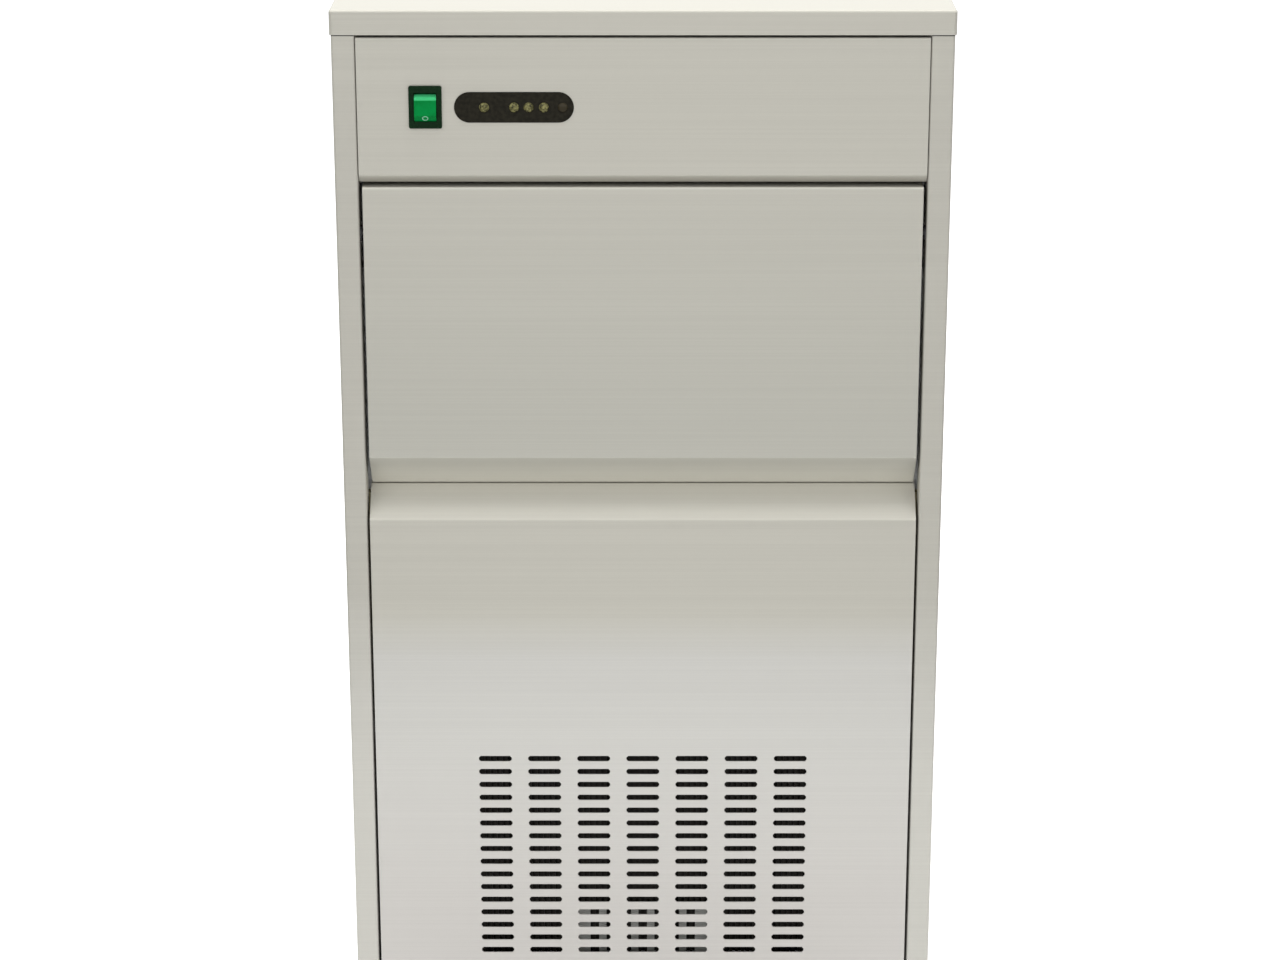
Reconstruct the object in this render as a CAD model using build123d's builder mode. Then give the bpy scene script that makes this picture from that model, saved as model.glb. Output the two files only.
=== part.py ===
from build123d import *

import os
from math import atan2, cos, degrees, radians, sin, sqrt

os.makedirs("parts", exist_ok=True)

# An undercounter ice cube maker: a sheet steel cabinet on four feet, a flap door in front of an
# insulated ice bin, a freezing mechanism above the bin and the cooling machinery below it.
# Millimetres. The origin is on the floor, under the middle of the whole machine; x runs to the
# right as seen from the front, y to the back and z up.

# Cabinet
cabinet_width = 500.0
cabinet_depth = 580.0
cabinet_height = 870.0
foot_height = 50.0
sheet = 1.0
bend = 2.0
slip = 0.2
seat = 0.3
press = 0.05
overrun = 5.0
lip_height = 20.0
top_corner = 3.0
top_seam = 2.0
stile_width = 19.0
stile_return = 20.0
rear_flange = 15.0
floor_flange = 15.0
head_flange = 13.0

# Back panel: exhaust slots, screws and what passes through it
exhaust_columns = 4
exhaust_rows = 8
exhaust_pitch_share = 0.16
exhaust_pitch_z = 15.0
exhaust_land = 18.0
exhaust_height = 6.0
exhaust_middle = 125.0
screw_levels = 4
screw_margin = 40.0
screw_radius = 2.0
screw_head_radius = 4.5
screw_head_height = 2.4
screw_length = 10.0

# Control panel
control_height = 119.0
control_gap = 0.5
control_bevel_height = 7.0
control_bevel_depth = 6.0
control_floor = 32.0
control_head = 15.0
control_side = 12.0

# Rocker switch, placed from the cabinet's left side and the panel's top edge
switch_from_side = 75.5
switch_drop = 56.2
bezel_width = 26.5
bezel_height = 34.5
bezel_proud = 2.0
bezel_corner = 1.5
switch_body_width = 24.0
switch_body_height = 31.5
switch_body_depth = 22.0
rocker_radius = 11.6
rocker_width = 17.6
rocker_gap = 0.3
rocker_tilt = 8.2
rocker_face = 3.3
rocker_bevel = 4.0
rocker_pin_radius = 1.2
rocker_pin_length = 0.9
terminal_width = 6.0
terminal_length = 8.0
terminal_spread = 16.0

# Indicator window and its lamps, placed from the switch and the panel's top edge
window_from_switch = 71.1
window_drop = 56.5
window_width = 96.0
window_height = 24.8
window_proud = 0.6
window_flange = 3.0
window_flange_wall = 1.6
lamp_radius = 4.0
lamp_gap = 0.1
lamp_length = 9.0
lamp_proud = 0.8
lamp_edge = 0.6
lamp_place_shares = (-0.25, 0.0, 0.122, 0.249, 0.408)

# Control box and its board
box_setback = 34.0
box_depth = 82.0
box_side_gap = 24.0
box_head_gap = 2.0
board_width = 220.0
board_height = 96.0
board_wall = 1.6
standoff_radius = 4.0
standoff_length = 8.0
standoff_inset = 10.0
transformer = (40.0, 34.0, 36.0)
transformer_from_edge = 55.0
relay = (18.0, 15.0, 20.0)
relay_count = 4
relay_pitch = 24.0
terminal_strip = (150.0, 12.0, 14.0)

# Flap door
door_gap_top = 3.0
door_gap_side = 3.0
door_height = 258.6
door_thickness = 32.0
door_liner_wall = 2.0
door_bulge = 3.0
door_bulge_side = 36.0
door_bulge_top = 60.0
door_bulge_bottom = 28.0
door_bulge_corner = 12.0
door_bulge_taper = 20.0
grip_rise = 29.2
grip_depth = 25.0
gasket_gap = 4.0
gasket_width = 12.0
gasket_margin = 4.0
gasket_bottom_margin = 1.6
hinge_below_top = 40.0
hinge_depth = 9.0
hinge_pin_radius = 3.0
hinge_head_radius = 6.0
hinge_head_height = 3.0
hinge_pin_reach = 5.0
running_gap = 0.05
bush_wall = 1.5
bush_flange_radius = 6.5
bush_flange_wall = 1.2
bush_reach = 2.5

# Finger groove and lower front panel
groove_mouth = 54.3
sill_gap = 1.0
lower_gap = 2.0
lower_side = 18.0
lower_side_gap = 2.0
lower_floor_gap = 2.0

# Ventilation slots
slot_columns = 7
slot_rows = 16
slot_pitch_x = 42.0
slot_pitch_z = 12.0
slot_length = 28.0
slot_height = 5.0
slot_end_share = 0.3
slots_above_base = 46.5

# Insulated room
foam_wall = 40.0
liner_wall = 2.5
riser_gap = 35.0
bin_above_base = 295.0
bin_height = 255.0
bin_corner = 8.0
frame_back = 62.0
frame_ledge = 26.0
sill_cover = 14.6
frame_foot = 9.4
hinge_room_depth = 60.0
hinge_room_drop = 36.0
header_drop = 4.0
hood_below_top = 70.0
hood_step = 130.0
foam_below_top = 5.0
foam_front = 30.0
foam_step = 120.0

# Freezing mechanism
evaporator_middle = 330.0
evaporator_drop = 28.0
evaporator_tube_radius = 5.0
outlet_rise = 20.0
row_count = 3
row_pitch = 44.0
column_count = 6
columns_from_side = 140.0
finger_radius = 6.0
finger_length = 56.0
finger_taper = 1.6
finger_tip = 5.0
row_end = 4.0
pipe_bend = 15.0
inlet_beyond_row = 18.0
outlet_beyond_row = 11.0
ice_wall = 14.0
tray_wall = 2.5
tray_corner = 5.0
tray_below_tips = 10.0
pivot_drop = 26.0
pivot_behind = 9.5
trunnion_radius = 4.0
trunnion_boss_radius = 10.0
trunnion_boss_reach = 5.0
cheek_gap = 10.5
cheek_wall = 2.0
cheek_front = 290.0
cheek_back = 430.0
frame_plate = 2.0
hanger_wall = 2.0
gearbox_size = 56.0
gearbox_length = 24.0
gearbox_round = 6.0
tilt_can_radius = 18.0
tilt_can_length = 28.0
drive_reach = 16.0

# Ice chute and water reservoir
chute_front = 225.0
chute_back = 430.0
chute_front_above_bin = 181.0
chute_back_above_bin = 277.0
rail_height = 14.0
rail_wall = 3.0
slat_count = 11
slat_width = 3.0
slat_height = 6.0
reservoir_front = 235.0
reservoir_back = 427.5
reservoir_above_bin = 145.0
reservoir_side_gap = 0.4
ledge_width = 5.3
ledge_height = 6.0

# Water pump, fill tube, float switch and level sensor
pump_from_side = 78.0
pump_depth = 380.0
pump_base_radius = 20.0
pump_base_height = 26.0
pump_neck_radius = 8.0
pump_neck_height = 46.0
pump_motor_radius = 20.0
pump_motor_height = 55.0
pump_motor_round = 4.0
pump_stub_radius = 5.0
pump_stub_length = 6.0
fill_tube_radius = 3.5
fill_tube_bend = 12.0
fill_spout_inset = 8.5
fill_spout_depth = 272.0
fill_spout_above_rim = 4.0
fill_loop_above_rim = 20.0
float_from_side = 78.0
float_depth = 380.0
stem_radius = 3.0
stem_height = 70.0
stem_foot_radius = 10.0
stem_foot_height = 3.0
collar_radius = 6.0
collar_height = 2.0
float_radius = 12.0
float_height = 18.0
float_above_foot = 8.0
float_travel = 10.0
sensor_depth = 150.0
sensor_above_bin = 150.0
sensor_radius = 5.0
sensor_length = 80.0
sensor_flange_radius = 11.0
sensor_flange_wall = 3.0

# Base tray and feet
tray_sheet = 1.5
tray_rise = 26.0
tray_back_gap = 3.0
foot_inset_x = 35.0
foot_inset_y = 42.0
foot_pad_radius = 20.0
foot_pad_height = 5.0
foot_neck_radius = 9.0
foot_neck_height = 16.0
stud_radius = 5.0
stud_gap = 0.08
stud_reach = 34.0
nut_across = 17.0
nut_height = 6.0
nut_sides = 6

# Condenser, its bracket and the fan
condenser_front = 24.0
condenser_depth = 45.0
condenser_share = 0.56
condenser_below_deck = 17.5
condenser_above_base = 30.0
fin_pitch = 5.0
fin_gap = 2.6
fin_groove = 8.0
header_radius = 9.0
header_stub_length = 6.0
header_stub_inset = 20.0
bracket_width = 112.0
bracket_height = 78.0
bracket_sheet = 1.5
bar_pitch = 14.0
bar_gap = 7.5
bar_gap_height = 68.0
shroud_depth = 16.0
shroud_wall = 2.0
bell_land = 5.5
bell_depth = 30.0
shroud_leg_width = 24.0
shroud_leg_inset = 12.0
arm_width = 9.0
arm_wall = 4.0
arm_count = 4
arm_start_angle = 45.0
motor_ring_radius = 40.0
motor_ring_wall = 8.0
fan_tip_gap = 3.0
fan_hub_radius = 17.0
fan_hub_length = 22.0
fan_setback = 12.0
blade_count = 5
blade_root_chord = 30.0
blade_tip_chord = 64.0
blade_root_pitch = 38.0
blade_tip_pitch = 20.0
blade_root_share = 0.8
blade_camber_share = 0.12
blade_wall = 2.0
fan_shaft_radius = 4.0
fan_shaft_reach = 30.0
motor_radius = 38.0
motor_length = 50.0
motor_nose_radius = 14.0
motor_nose_length = 6.0
motor_round = 5.0

# Compressor
compressor_from_outlet = 45.0
compressor_depth = 430.0
compressor_radius = 78.0
compressor_height = 165.0
compressor_base_gap = 5.0
compressor_top_round = 34.0
compressor_floor_round = 18.0
compressor_seam = 2.5
compressor_seam_height = 4.0
compressor_seam_share = 0.55
foot_plate_width = 190.0
foot_plate_depth = 150.0
foot_plate_wall = 3.0
mount_spread_x = 166.0
mount_spread_y = 126.0
mount_height = 12.0
mount_radius = 12.0
mount_neck_radius = 6.5
mount_cap_radius = 10.0
mount_cap_height = 4.0
relay_box = (60.0, 26.0, 62.0)
relay_box_above = 50.0

# Refrigerant pipes and filter drier
suction_radius = 5.0
suction_above_floor = 150.0
suction_stub = 14.0
discharge_radius = 4.0
discharge_above_floor = 100.0
discharge_stub = 12.0
discharge_beyond_compressor = 35.0
liquid_radius = 3.0
liquid_bend = 10.0
liquid_beyond_condenser = 50.0
drier_depth = 330.0
drier_above_floor = 80.0
drier_radius = 10.0
drier_length = 100.0
drier_taper = 14.0
liquid_crossing = 34.0

# Water inlet, supply hose, drain and cable gland, placed from the cabinet's sides, from the
# compressor, under the deck and above the floor
inlet_valve_from_side = 60.0
inlet_valve_below_deck = 72.5
thread_radius = 13.2
thread_reach = 26.0
thread_bore = 8.0
thread_flange_radius = 17.0
thread_flange_wall = 3.0
valve_width = 32.0
valve_depth = 34.0
valve_height = 30.0
coil_radius = 14.0
coil_height = 38.0
hose_radius = 6.0
hose_bend = 14.0
hose_stub = 6.0
hose_above_bin = 305.0
hose_overhang = 18.0
drain_from_compressor = 80.0
drain_depth = 480.0
drain_z = 95.0
drain_radius = 10.0
drain_wall = 2.0
drain_bend = 28.0
drain_reach = 25.0
drain_collar_radius = 15.0
drain_collar_wall = 3.0
gland_from_side = 50.0
gland_z = 110.0
gland_radius = 9.0
gland_flange_radius = 13.0
gland_flange_wall = 5.0
gland_dome_radius = 11.0
gland_dome_length = 12.0
gland_nut_wall = 4.0
gland_tail = 12.0
gland_bore = 4.0

# Levels and widths that follow from the sizes above
top_z = foot_height + cabinet_height
cabinet_half = cabinet_width / 2
base_z = foot_height
body_half = cabinet_half - sheet - slip
body_depth = cabinet_depth - 2 * (sheet + slip)
inner_half = body_half - sheet
opening_half = body_half - stile_width
control_top = top_z - lip_height - top_seam
control_bottom = control_top - control_height
control_half = opening_half - control_gap
door_top = control_bottom - door_gap_top
door_bottom = door_top - door_height
door_half = opening_half - door_gap_side
grip_z = door_bottom + grip_rise
ledge_z = grip_z - groove_mouth
recess_top = door_bottom - sill_gap
lower_half = opening_half - lower_gap
lower_bottom = base_z + lower_floor_gap
frame_face = door_thickness + gasket_gap
sill_z = door_bottom + sill_cover
frame_bottom = recess_top - frame_foot
hinge_z = door_top - hinge_below_top
hinge_room_z = hinge_z - hinge_room_drop
header_z = door_top - header_drop
frame_top = control_bottom + sheet + seat + liner_wall
liner_half = inner_half - foam_wall
room_half = liner_half - liner_wall
foam_back = body_depth - sheet - riser_gap
liner_back = foam_back - foam_wall
room_back = liner_back - liner_wall
bin_floor = base_z + bin_above_base
bin_rim = bin_floor + bin_height
deck_top = bin_floor - liner_wall - foam_wall
hood_ceiling = top_z - hood_below_top
foam_half = inner_half - seat
foam_top = top_z - sheet - foam_below_top
tray_floor = base_z + sheet + tray_sheet
side_top = top_z - 2 * sheet
box_half = cabinet_half - box_side_gap
exhaust_pitch_x = exhaust_pitch_share * cabinet_width
exhaust_length = exhaust_pitch_x - exhaust_land
inlet_valve_x = cabinet_half - inlet_valve_from_side
inlet_valve_z = deck_top - inlet_valve_below_deck
gland_x = gland_from_side - cabinet_half
switch_x = switch_from_side - cabinet_half
switch_z = control_top - switch_drop
window_x = switch_x + window_from_switch
window_z = control_top - window_drop

# The rocker's corner is the foremost point of the machine and the water inlet's thread the
# rearmost; the front face is placed so that the origin is midway between them.
tilt_angle = radians(rocker_tilt)
rocker_half_face = sqrt(rocker_radius**2 - rocker_face**2) - rocker_bevel
rocker_reach = rocker_face * cos(tilt_angle) + rocker_half_face * sin(tilt_angle)
face_y = (rocker_reach - thread_reach - body_depth) / 2

# The freezing mechanism's columns spread over the room's width, and the pipes, the compressor
# and the drain take their places from them.
columns_half = cabinet_half - columns_from_side
column_pitch = 2 * columns_half / (column_count - 1)
hanger_x = 2 * column_pitch
row_half = columns_half + row_end
inlet_x = row_half + inlet_beyond_row
outlet_x = -row_half - outlet_beyond_row
compressor_x = outlet_x + compressor_from_outlet
drain_x = compressor_x + drain_from_compressor
condenser_half = condenser_share * cabinet_half
discharge_x = compressor_x - compressor_radius - discharge_stub - discharge_beyond_compressor
liquid_x = condenser_half + liquid_beyond_condenser
pump_x = pump_from_side - cabinet_half
float_x = cabinet_half - float_from_side


def level_plane(height):
    """A plane lying flat at a height, with its own origin at the cabinet's front face."""
    return Plane(origin=(0, face_y, height), x_dir=(1, 0, 0), z_dir=(0, 0, 1))


def front_plane(depth=0):
    """A plane facing the front, at a depth behind the cabinet's front face."""
    return Plane(origin=(0, face_y + depth, 0), x_dir=(1, 0, 0), z_dir=(0, -1, 0))


def upright_plane(x, depth):
    """A plane facing the front whose own y axis is an upright axis at a place."""
    return Plane(origin=place(x, depth, 0), x_dir=(1, 0, 0), z_dir=(0, -1, 0))


def side_plane(x=0):
    """A plane facing the right; its own axes are the depth behind the front face and z."""
    return Plane(origin=(x, face_y, 0), x_dir=(0, 1, 0), z_dir=(1, 0, 0))


def place(x, depth, height):
    """A point given by x, its depth behind the front face, and its height."""
    return (x, face_y + depth, height)


def block(x, depth, height, mode=Mode.ADD):
    """A straight block between a low and a high x, depth and height."""
    with BuildSketch(level_plane(height[0])) as footprint:
        with Locations(((x[0] + x[1]) / 2, (depth[0] + depth[1]) / 2)):
            Rectangle(x[1] - x[0], depth[1] - depth[0])
    extrude(footprint.sketch, amount=height[1] - height[0], mode=mode)


def round_bar(plane, centre, radius, length, mode=Mode.ADD):
    """A round bar that starts on a plane and runs along its normal."""
    with BuildSketch(plane) as disc:
        with Locations(centre):
            Circle(radius)
    extrude(disc.sketch, amount=length, mode=mode)


def folded_section(plane, points):
    """The section of a folded sheet: its outer line, with the sheet's thickness on its left."""
    with BuildSketch(plane) as section:
        with BuildLine():
            outer_line = FilletPolyline(*points, radius=bend)
            offset(outer_line, amount=sheet, side=Side.LEFT)
        make_face()
    return section.sketch


def bent_tube(points, radius, bend_radius, bore=0):
    """A tube along straight runs with round bends, solid unless it has a bore."""
    with BuildPart() as tube:
        with BuildLine() as route:
            FilletPolyline(*points, radius=bend_radius)
        with BuildSketch(Plane(origin=route.line @ 0, z_dir=route.line % 0)):
            Circle(radius)
            if bore > 0:
                Circle(bore, mode=Mode.SUBTRACT)
        sweep(path=route.line)
    return tube


def keep(name, piece):
    """Label a finished piece and write it to its own file."""
    piece.part.label = name
    export_step(piece.part, f"parts/{name}.step")


# Top panel: a pan with rounded corners, upside down over the body
with BuildPart() as top_panel:
    with BuildSketch(Plane(origin=place(0, body_depth / 2, top_z - lip_height))):
        RectangleRounded(cabinet_width, cabinet_depth, radius=top_corner)
    extrude(amount=lip_height)
    fillet(top_panel.faces().sort_by(Axis.Z)[-1].edges(), radius=bend)
    offset(amount=-sheet, openings=top_panel.faces().sort_by(Axis.Z)[0])
keep("top_panel", top_panel)

# Side panels: the front edge is folded in as a stile with a return, where the door's bush sits
screw_x = body_half - rear_flange / 2
screw_places = [
    (screw_x, base_z + screw_margin + i * (cabinet_height - 2 * screw_margin) / (screw_levels - 1))
    for i in range(screw_levels)
]
bush_radius = hinge_pin_radius + running_gap + bush_wall
with BuildPart() as right_side_panel:
    stile_fold = folded_section(
        level_plane(base_z),
        [
            (opening_half, stile_return),
            (opening_half, 0),
            (body_half, 0),
            (body_half, body_depth - sheet),
            (body_half - rear_flange, body_depth - sheet),
        ],
    )
    extrude(stile_fold, amount=side_top - base_z)
    flange_depth = (stile_return + bend, body_depth - rear_flange)
    block((body_half - floor_flange, inner_half), flange_depth, (base_z, base_z + sheet))
    block(
        (body_half - head_flange, inner_half),
        (stile_return + bend, body_depth - 2 * sheet),
        (side_top - sheet, side_top + sheet),
    )
    round_bar(
        side_plane(opening_half - sheet), (hinge_depth, hinge_z),
        bush_radius + press, overrun, mode=Mode.SUBTRACT,
    )
    for screw_place in screw_places:
        round_bar(
            front_plane(body_depth), screw_place, screw_radius + press, overrun, mode=Mode.SUBTRACT
        )
keep("right_side_panel", right_side_panel)

with BuildPart() as left_side_panel:
    mirror(right_side_panel.part, about=Plane.YZ)
keep("left_side_panel", left_side_panel)

# Back panel, over the rear flanges: exhaust slots and holes for water, drain and cable
with BuildPart() as back_panel:
    back_low = base_z + sheet
    back_high = side_top
    with BuildSketch(front_plane(body_depth)):
        with Locations((0, (back_low + back_high) / 2)):
            Rectangle(2 * (body_half - bend), back_high - back_low)
        with Locations((0, base_z + exhaust_middle)):
            with GridLocations(exhaust_pitch_x, exhaust_pitch_z, exhaust_columns, exhaust_rows):
                Rectangle(exhaust_length, exhaust_height, mode=Mode.SUBTRACT)
        with Locations((inlet_valve_x, inlet_valve_z)):
            Circle(thread_radius + slip, mode=Mode.SUBTRACT)
        with Locations((drain_x, drain_z)):
            Circle(drain_radius + slip, mode=Mode.SUBTRACT)
        with Locations((gland_x, gland_z)):
            Circle(gland_radius + slip, mode=Mode.SUBTRACT)
        for side in (-1, 1):
            with Locations([(side * x, z) for x, z in screw_places]):
                Circle(screw_radius + press, mode=Mode.SUBTRACT)
    extrude(amount=sheet)
keep("back_panel", back_panel)

with BuildPart() as back_panel_screws:
    for side in (-1, 1):
        for x, z in screw_places:
            round_bar(
                front_plane(body_depth), (side * x, z), screw_radius, screw_length
            )
            round_bar(
                front_plane(body_depth + screw_head_height), (side * x, z),
                screw_head_radius, screw_head_height,
            )
keep("back_panel_screws", back_panel_screws)

# Control panel: flat front, bevelled under edge, returned on all sides
with BuildPart() as control_panel:
    control_fold = folded_section(
        side_plane(),
        [
            (control_head, control_top),
            (0, control_top),
            (0, control_bottom + control_bevel_height),
            (control_bevel_depth, control_bottom),
            (control_floor, control_bottom),
        ],
    )
    extrude(control_fold, amount=control_half, both=True)
    for side in (-1, 1):
        block(
            sorted((side * control_half, side * (control_half - sheet))),
            (bend, control_side),
            (control_bottom + control_bevel_height + sheet, control_top - sheet),
        )
    with BuildSketch(front_plane(sheet)):
        with Locations((switch_x, switch_z)):
            Rectangle(switch_body_width + slip, switch_body_height + slip)
        with Locations((window_x, window_z)):
            SlotOverall(window_width + slip, window_height + slip)
    extrude(amount=2 * sheet, both=True, mode=Mode.SUBTRACT)
keep("control_panel", control_panel)

# Switch body: a snap-in housing with a rim, open where the rocker swings
rocker_room = rocker_radius + rocker_gap
with BuildPart() as switch_body:
    with BuildSketch(front_plane()):
        with Locations((switch_x, switch_z)):
            RectangleRounded(bezel_width, bezel_height, radius=bezel_corner)
    extrude(amount=bezel_proud)
    block(
        (switch_x - switch_body_width / 2, switch_x + switch_body_width / 2),
        (0, switch_body_depth),
        (switch_z - switch_body_height / 2, switch_z + switch_body_height / 2),
    )
    with BuildSketch(side_plane(switch_x)):
        with Locations((0, switch_z)):
            Circle(rocker_room)
    extrude(amount=rocker_width / 2 + rocker_gap, both=True, mode=Mode.SUBTRACT)
    with BuildSketch(side_plane(switch_x)):
        with Locations((0, switch_z)):
            Circle(rocker_pin_radius + running_gap)
    extrude(amount=rocker_width / 2 + rocker_pin_length + rocker_gap, both=True, mode=Mode.SUBTRACT)
    for side in (-1, 1):
        terminal_x = switch_x + side * terminal_spread / 2
        block(
            (terminal_x - sheet / 2, terminal_x + sheet / 2),
            (switch_body_depth, switch_body_depth + terminal_length),
            (switch_z - terminal_width / 2, switch_z + terminal_width / 2),
        )
keep("switch_body", switch_body)

# Rocker: a round drum that swings in the body, with a flat face and bevelled ends, at rest with
# its upper end out
with BuildPart() as switch_rocker:
    with BuildSketch(side_plane(switch_x)):
        with Locations((0, switch_z)):
            Circle(rocker_radius)
        with Locations(Location((0, switch_z), -rocker_tilt)):
            with Locations((-rocker_face - rocker_radius, 0)):
                Rectangle(2 * rocker_radius, 2 * rocker_radius + overrun, mode=Mode.SUBTRACT)
    extrude(amount=rocker_width / 2, both=True)
    end_edges = switch_rocker.faces().sort_by(Axis.Y)[0].edges().filter_by(Axis.X)
    chamfer(end_edges, length=rocker_bevel)
    with BuildSketch(side_plane(switch_x)):
        with Locations((0, switch_z)):
            Circle(rocker_pin_radius)
    extrude(amount=rocker_width / 2 + rocker_pin_length, both=True)
keep("switch_rocker", switch_rocker)

# Indicator window: a long round-ended lens, held by a flange behind the panel
lamp_places = [(window_x + share * window_width, window_z) for share in lamp_place_shares]
with BuildPart() as indicator_window:
    with BuildSketch(front_plane(sheet)):
        with Locations((window_x, window_z)):
            SlotOverall(window_width, window_height)
    extrude(amount=sheet + window_proud)
    with BuildSketch(front_plane(sheet)):
        with Locations((window_x, window_z)):
            SlotOverall(window_width + 2 * window_flange, window_height + 2 * window_flange)
    extrude(amount=-window_flange_wall)
    with BuildSketch(front_plane(sheet)):
        with Locations(lamp_places):
            Circle(lamp_radius + lamp_gap)
    extrude(amount=2 * window_flange, both=True, mode=Mode.SUBTRACT)
keep("indicator_window", indicator_window)

with BuildPart() as indicator_lamps:
    with BuildSketch(front_plane(lamp_length - lamp_proud)):
        with Locations(lamp_places):
            Circle(lamp_radius)
    extrude(amount=lamp_length)
    chamfer(indicator_lamps.edges().group_by(Axis.Y)[0], length=lamp_edge)
keep("indicator_lamps", indicator_lamps)

# Control box behind the control panel, standing on the door frame's top, open to the front
box_low = frame_top + seat
box_high = control_top - box_head_gap
box_back = box_setback + box_depth
box_middle = (box_low + box_high) / 2
board_places = [
    (i * (board_width / 2 - standoff_inset), box_middle + j * (board_height / 2 - standoff_inset))
    for i in (-1, 1)
    for j in (-1, 1)
]
with BuildPart() as control_box:
    block((-box_half, box_half), (box_setback, box_back), (box_low, box_high))
    offset(amount=-sheet, openings=control_box.faces().sort_by(Axis.Y)[0])
    with BuildSketch(front_plane(box_back - sheet)):
        with Locations(board_places):
            Circle(standoff_radius)
    extrude(amount=standoff_length)
keep("control_box", control_box)

board_back = box_back - sheet - standoff_length
board_face = board_back - board_wall
with BuildPart() as control_board:
    block(
        (-board_width / 2, board_width / 2),
        (board_face, board_back),
        (box_middle - board_height / 2, box_middle + board_height / 2),
    )
    transformer_x = transformer_from_edge - board_width / 2
    block(
        (transformer_x - transformer[0] / 2, transformer_x + transformer[0] / 2),
        (board_face - transformer[1], board_face),
        (box_middle - transformer[2] / 2, box_middle + transformer[2] / 2),
    )
    for i in range(relay_count):
        relay_x = i * relay_pitch
        block(
            (relay_x, relay_x + relay[0]),
            (board_face - relay[1], board_face),
            (box_middle, box_middle + relay[2]),
        )
    block(
        (-terminal_strip[0] / 2, terminal_strip[0] / 2),
        (board_face - terminal_strip[2], board_face),
        (box_middle - board_height / 2, box_middle - board_height / 2 + terminal_strip[1]),
    )
keep("control_board", control_board)

# Door skin: one folded sheet whose lower edge slopes inwards as the grip
door_back = door_thickness - door_liner_wall
grip_slope = sqrt(grip_rise**2 + grip_depth**2)


def door_section(inset, back):
    """The door's side view, drawn in by an inset on all sides but the back."""
    slope_drop = inset * (grip_slope - grip_rise) / grip_depth
    slope_step = inset * (grip_slope - grip_depth) / grip_rise
    with BuildSketch(side_plane()) as section:
        with BuildLine():
            Polyline(
                (inset, door_top - inset),
                (inset, grip_z + slope_drop),
                (grip_depth + slope_step, door_bottom + inset),
                (back, door_bottom + inset),
                (back, door_top - inset),
                close=True,
            )
        make_face()
        fillet(section.vertices().group_by(Axis.X)[0], radius=bend)
    return section.sketch


with BuildPart() as door_skin:
    extrude(door_section(0, door_back), amount=door_half, both=True)
    extrude(
        door_section(sheet, door_back + overrun), amount=door_half - sheet, both=True,
        mode=Mode.SUBTRACT,
    )
    with BuildSketch(side_plane()):
        with Locations((hinge_depth, hinge_z)):
            Circle(hinge_pin_radius + press)
    extrude(amount=door_half + overrun, both=True, mode=Mode.SUBTRACT)
keep("door_skin", door_skin)

# Door foam fills the skin, with pockets for the pin heads
foam_inset = sheet + seat
with BuildPart() as door_foam:
    extrude(
        door_section(foam_inset, door_back - seat), amount=door_half - foam_inset, both=True
    )
    for side in (-1, 1):
        pocket_end = door_half - sheet
        block(
            sorted((side * (pocket_end - hinge_head_height - seat), side * pocket_end)),
            (hinge_depth - hinge_head_radius - seat, hinge_depth + hinge_head_radius + seat),
            (hinge_z - hinge_head_radius - seat, hinge_z + hinge_head_radius + seat),
            mode=Mode.SUBTRACT,
        )
keep("door_foam", door_foam)

# Door liner: a vacuum-formed cover with a shallow raised field
with BuildPart() as door_liner:
    block((-door_half, door_half), (door_back, door_thickness), (door_bottom, door_top))
    with BuildSketch(front_plane(door_thickness)):
        with BuildLine():
            Polyline(
                (-door_half + door_bulge_side, door_bottom + door_bulge_bottom),
                (door_half - door_bulge_side, door_bottom + door_bulge_bottom),
                (door_half - door_bulge_side, door_top - door_bulge_top),
                (-door_half + door_bulge_side, door_top - door_bulge_top),
                close=True,
            )
        field = make_face()
        fillet(field.vertices(), radius=door_bulge_corner)
    extrude(amount=-door_bulge, taper=door_bulge_taper)
keep("door_liner", door_liner)

# Door gasket: a soft strip down both sides and along the bottom of the door's back
gasket_half = door_half - gasket_margin
gasket_low = door_bottom + gasket_bottom_margin
gasket_high = hinge_room_z - gasket_margin
with BuildPart() as door_gasket:
    gasket_depth = (door_thickness, frame_face - seat)
    block((-gasket_half, gasket_half), gasket_depth, (gasket_low, gasket_high))
    block(
        (-gasket_half + gasket_width, gasket_half - gasket_width),
        (door_thickness - overrun, frame_face + overrun),
        (gasket_low + gasket_width, gasket_high + overrun),
        mode=Mode.SUBTRACT,
    )
keep("door_gasket", door_gasket)

# Hinge pins, headed inside the skin, and the flanged bushes in the stiles' returns
with BuildPart() as door_hinge_pins:
    for side in (-1, 1):
        pin_start = side_plane(side * (door_half - sheet))
        round_bar(
            pin_start, (hinge_depth, hinge_z), hinge_head_radius, -side * hinge_head_height
        )
        round_bar(
            pin_start, (hinge_depth, hinge_z), hinge_pin_radius,
            side * (sheet + door_gap_side + hinge_pin_reach),
        )
keep("door_hinge_pins", door_hinge_pins)

with BuildPart() as door_hinge_bushes:
    for side in (-1, 1):
        lip = side_plane(side * opening_half)
        round_bar(lip, (hinge_depth, hinge_z), bush_flange_radius, -side * bush_flange_wall)
        round_bar(lip, (hinge_depth, hinge_z), bush_radius, side * (sheet + bush_reach))
        round_bar(
            side_plane(side * (opening_half - bush_flange_wall)), (hinge_depth, hinge_z),
            hinge_pin_radius + running_gap, side * (bush_flange_wall + sheet + bush_reach),
            mode=Mode.SUBTRACT,
        )
keep("door_hinge_bushes", door_hinge_bushes)

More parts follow.
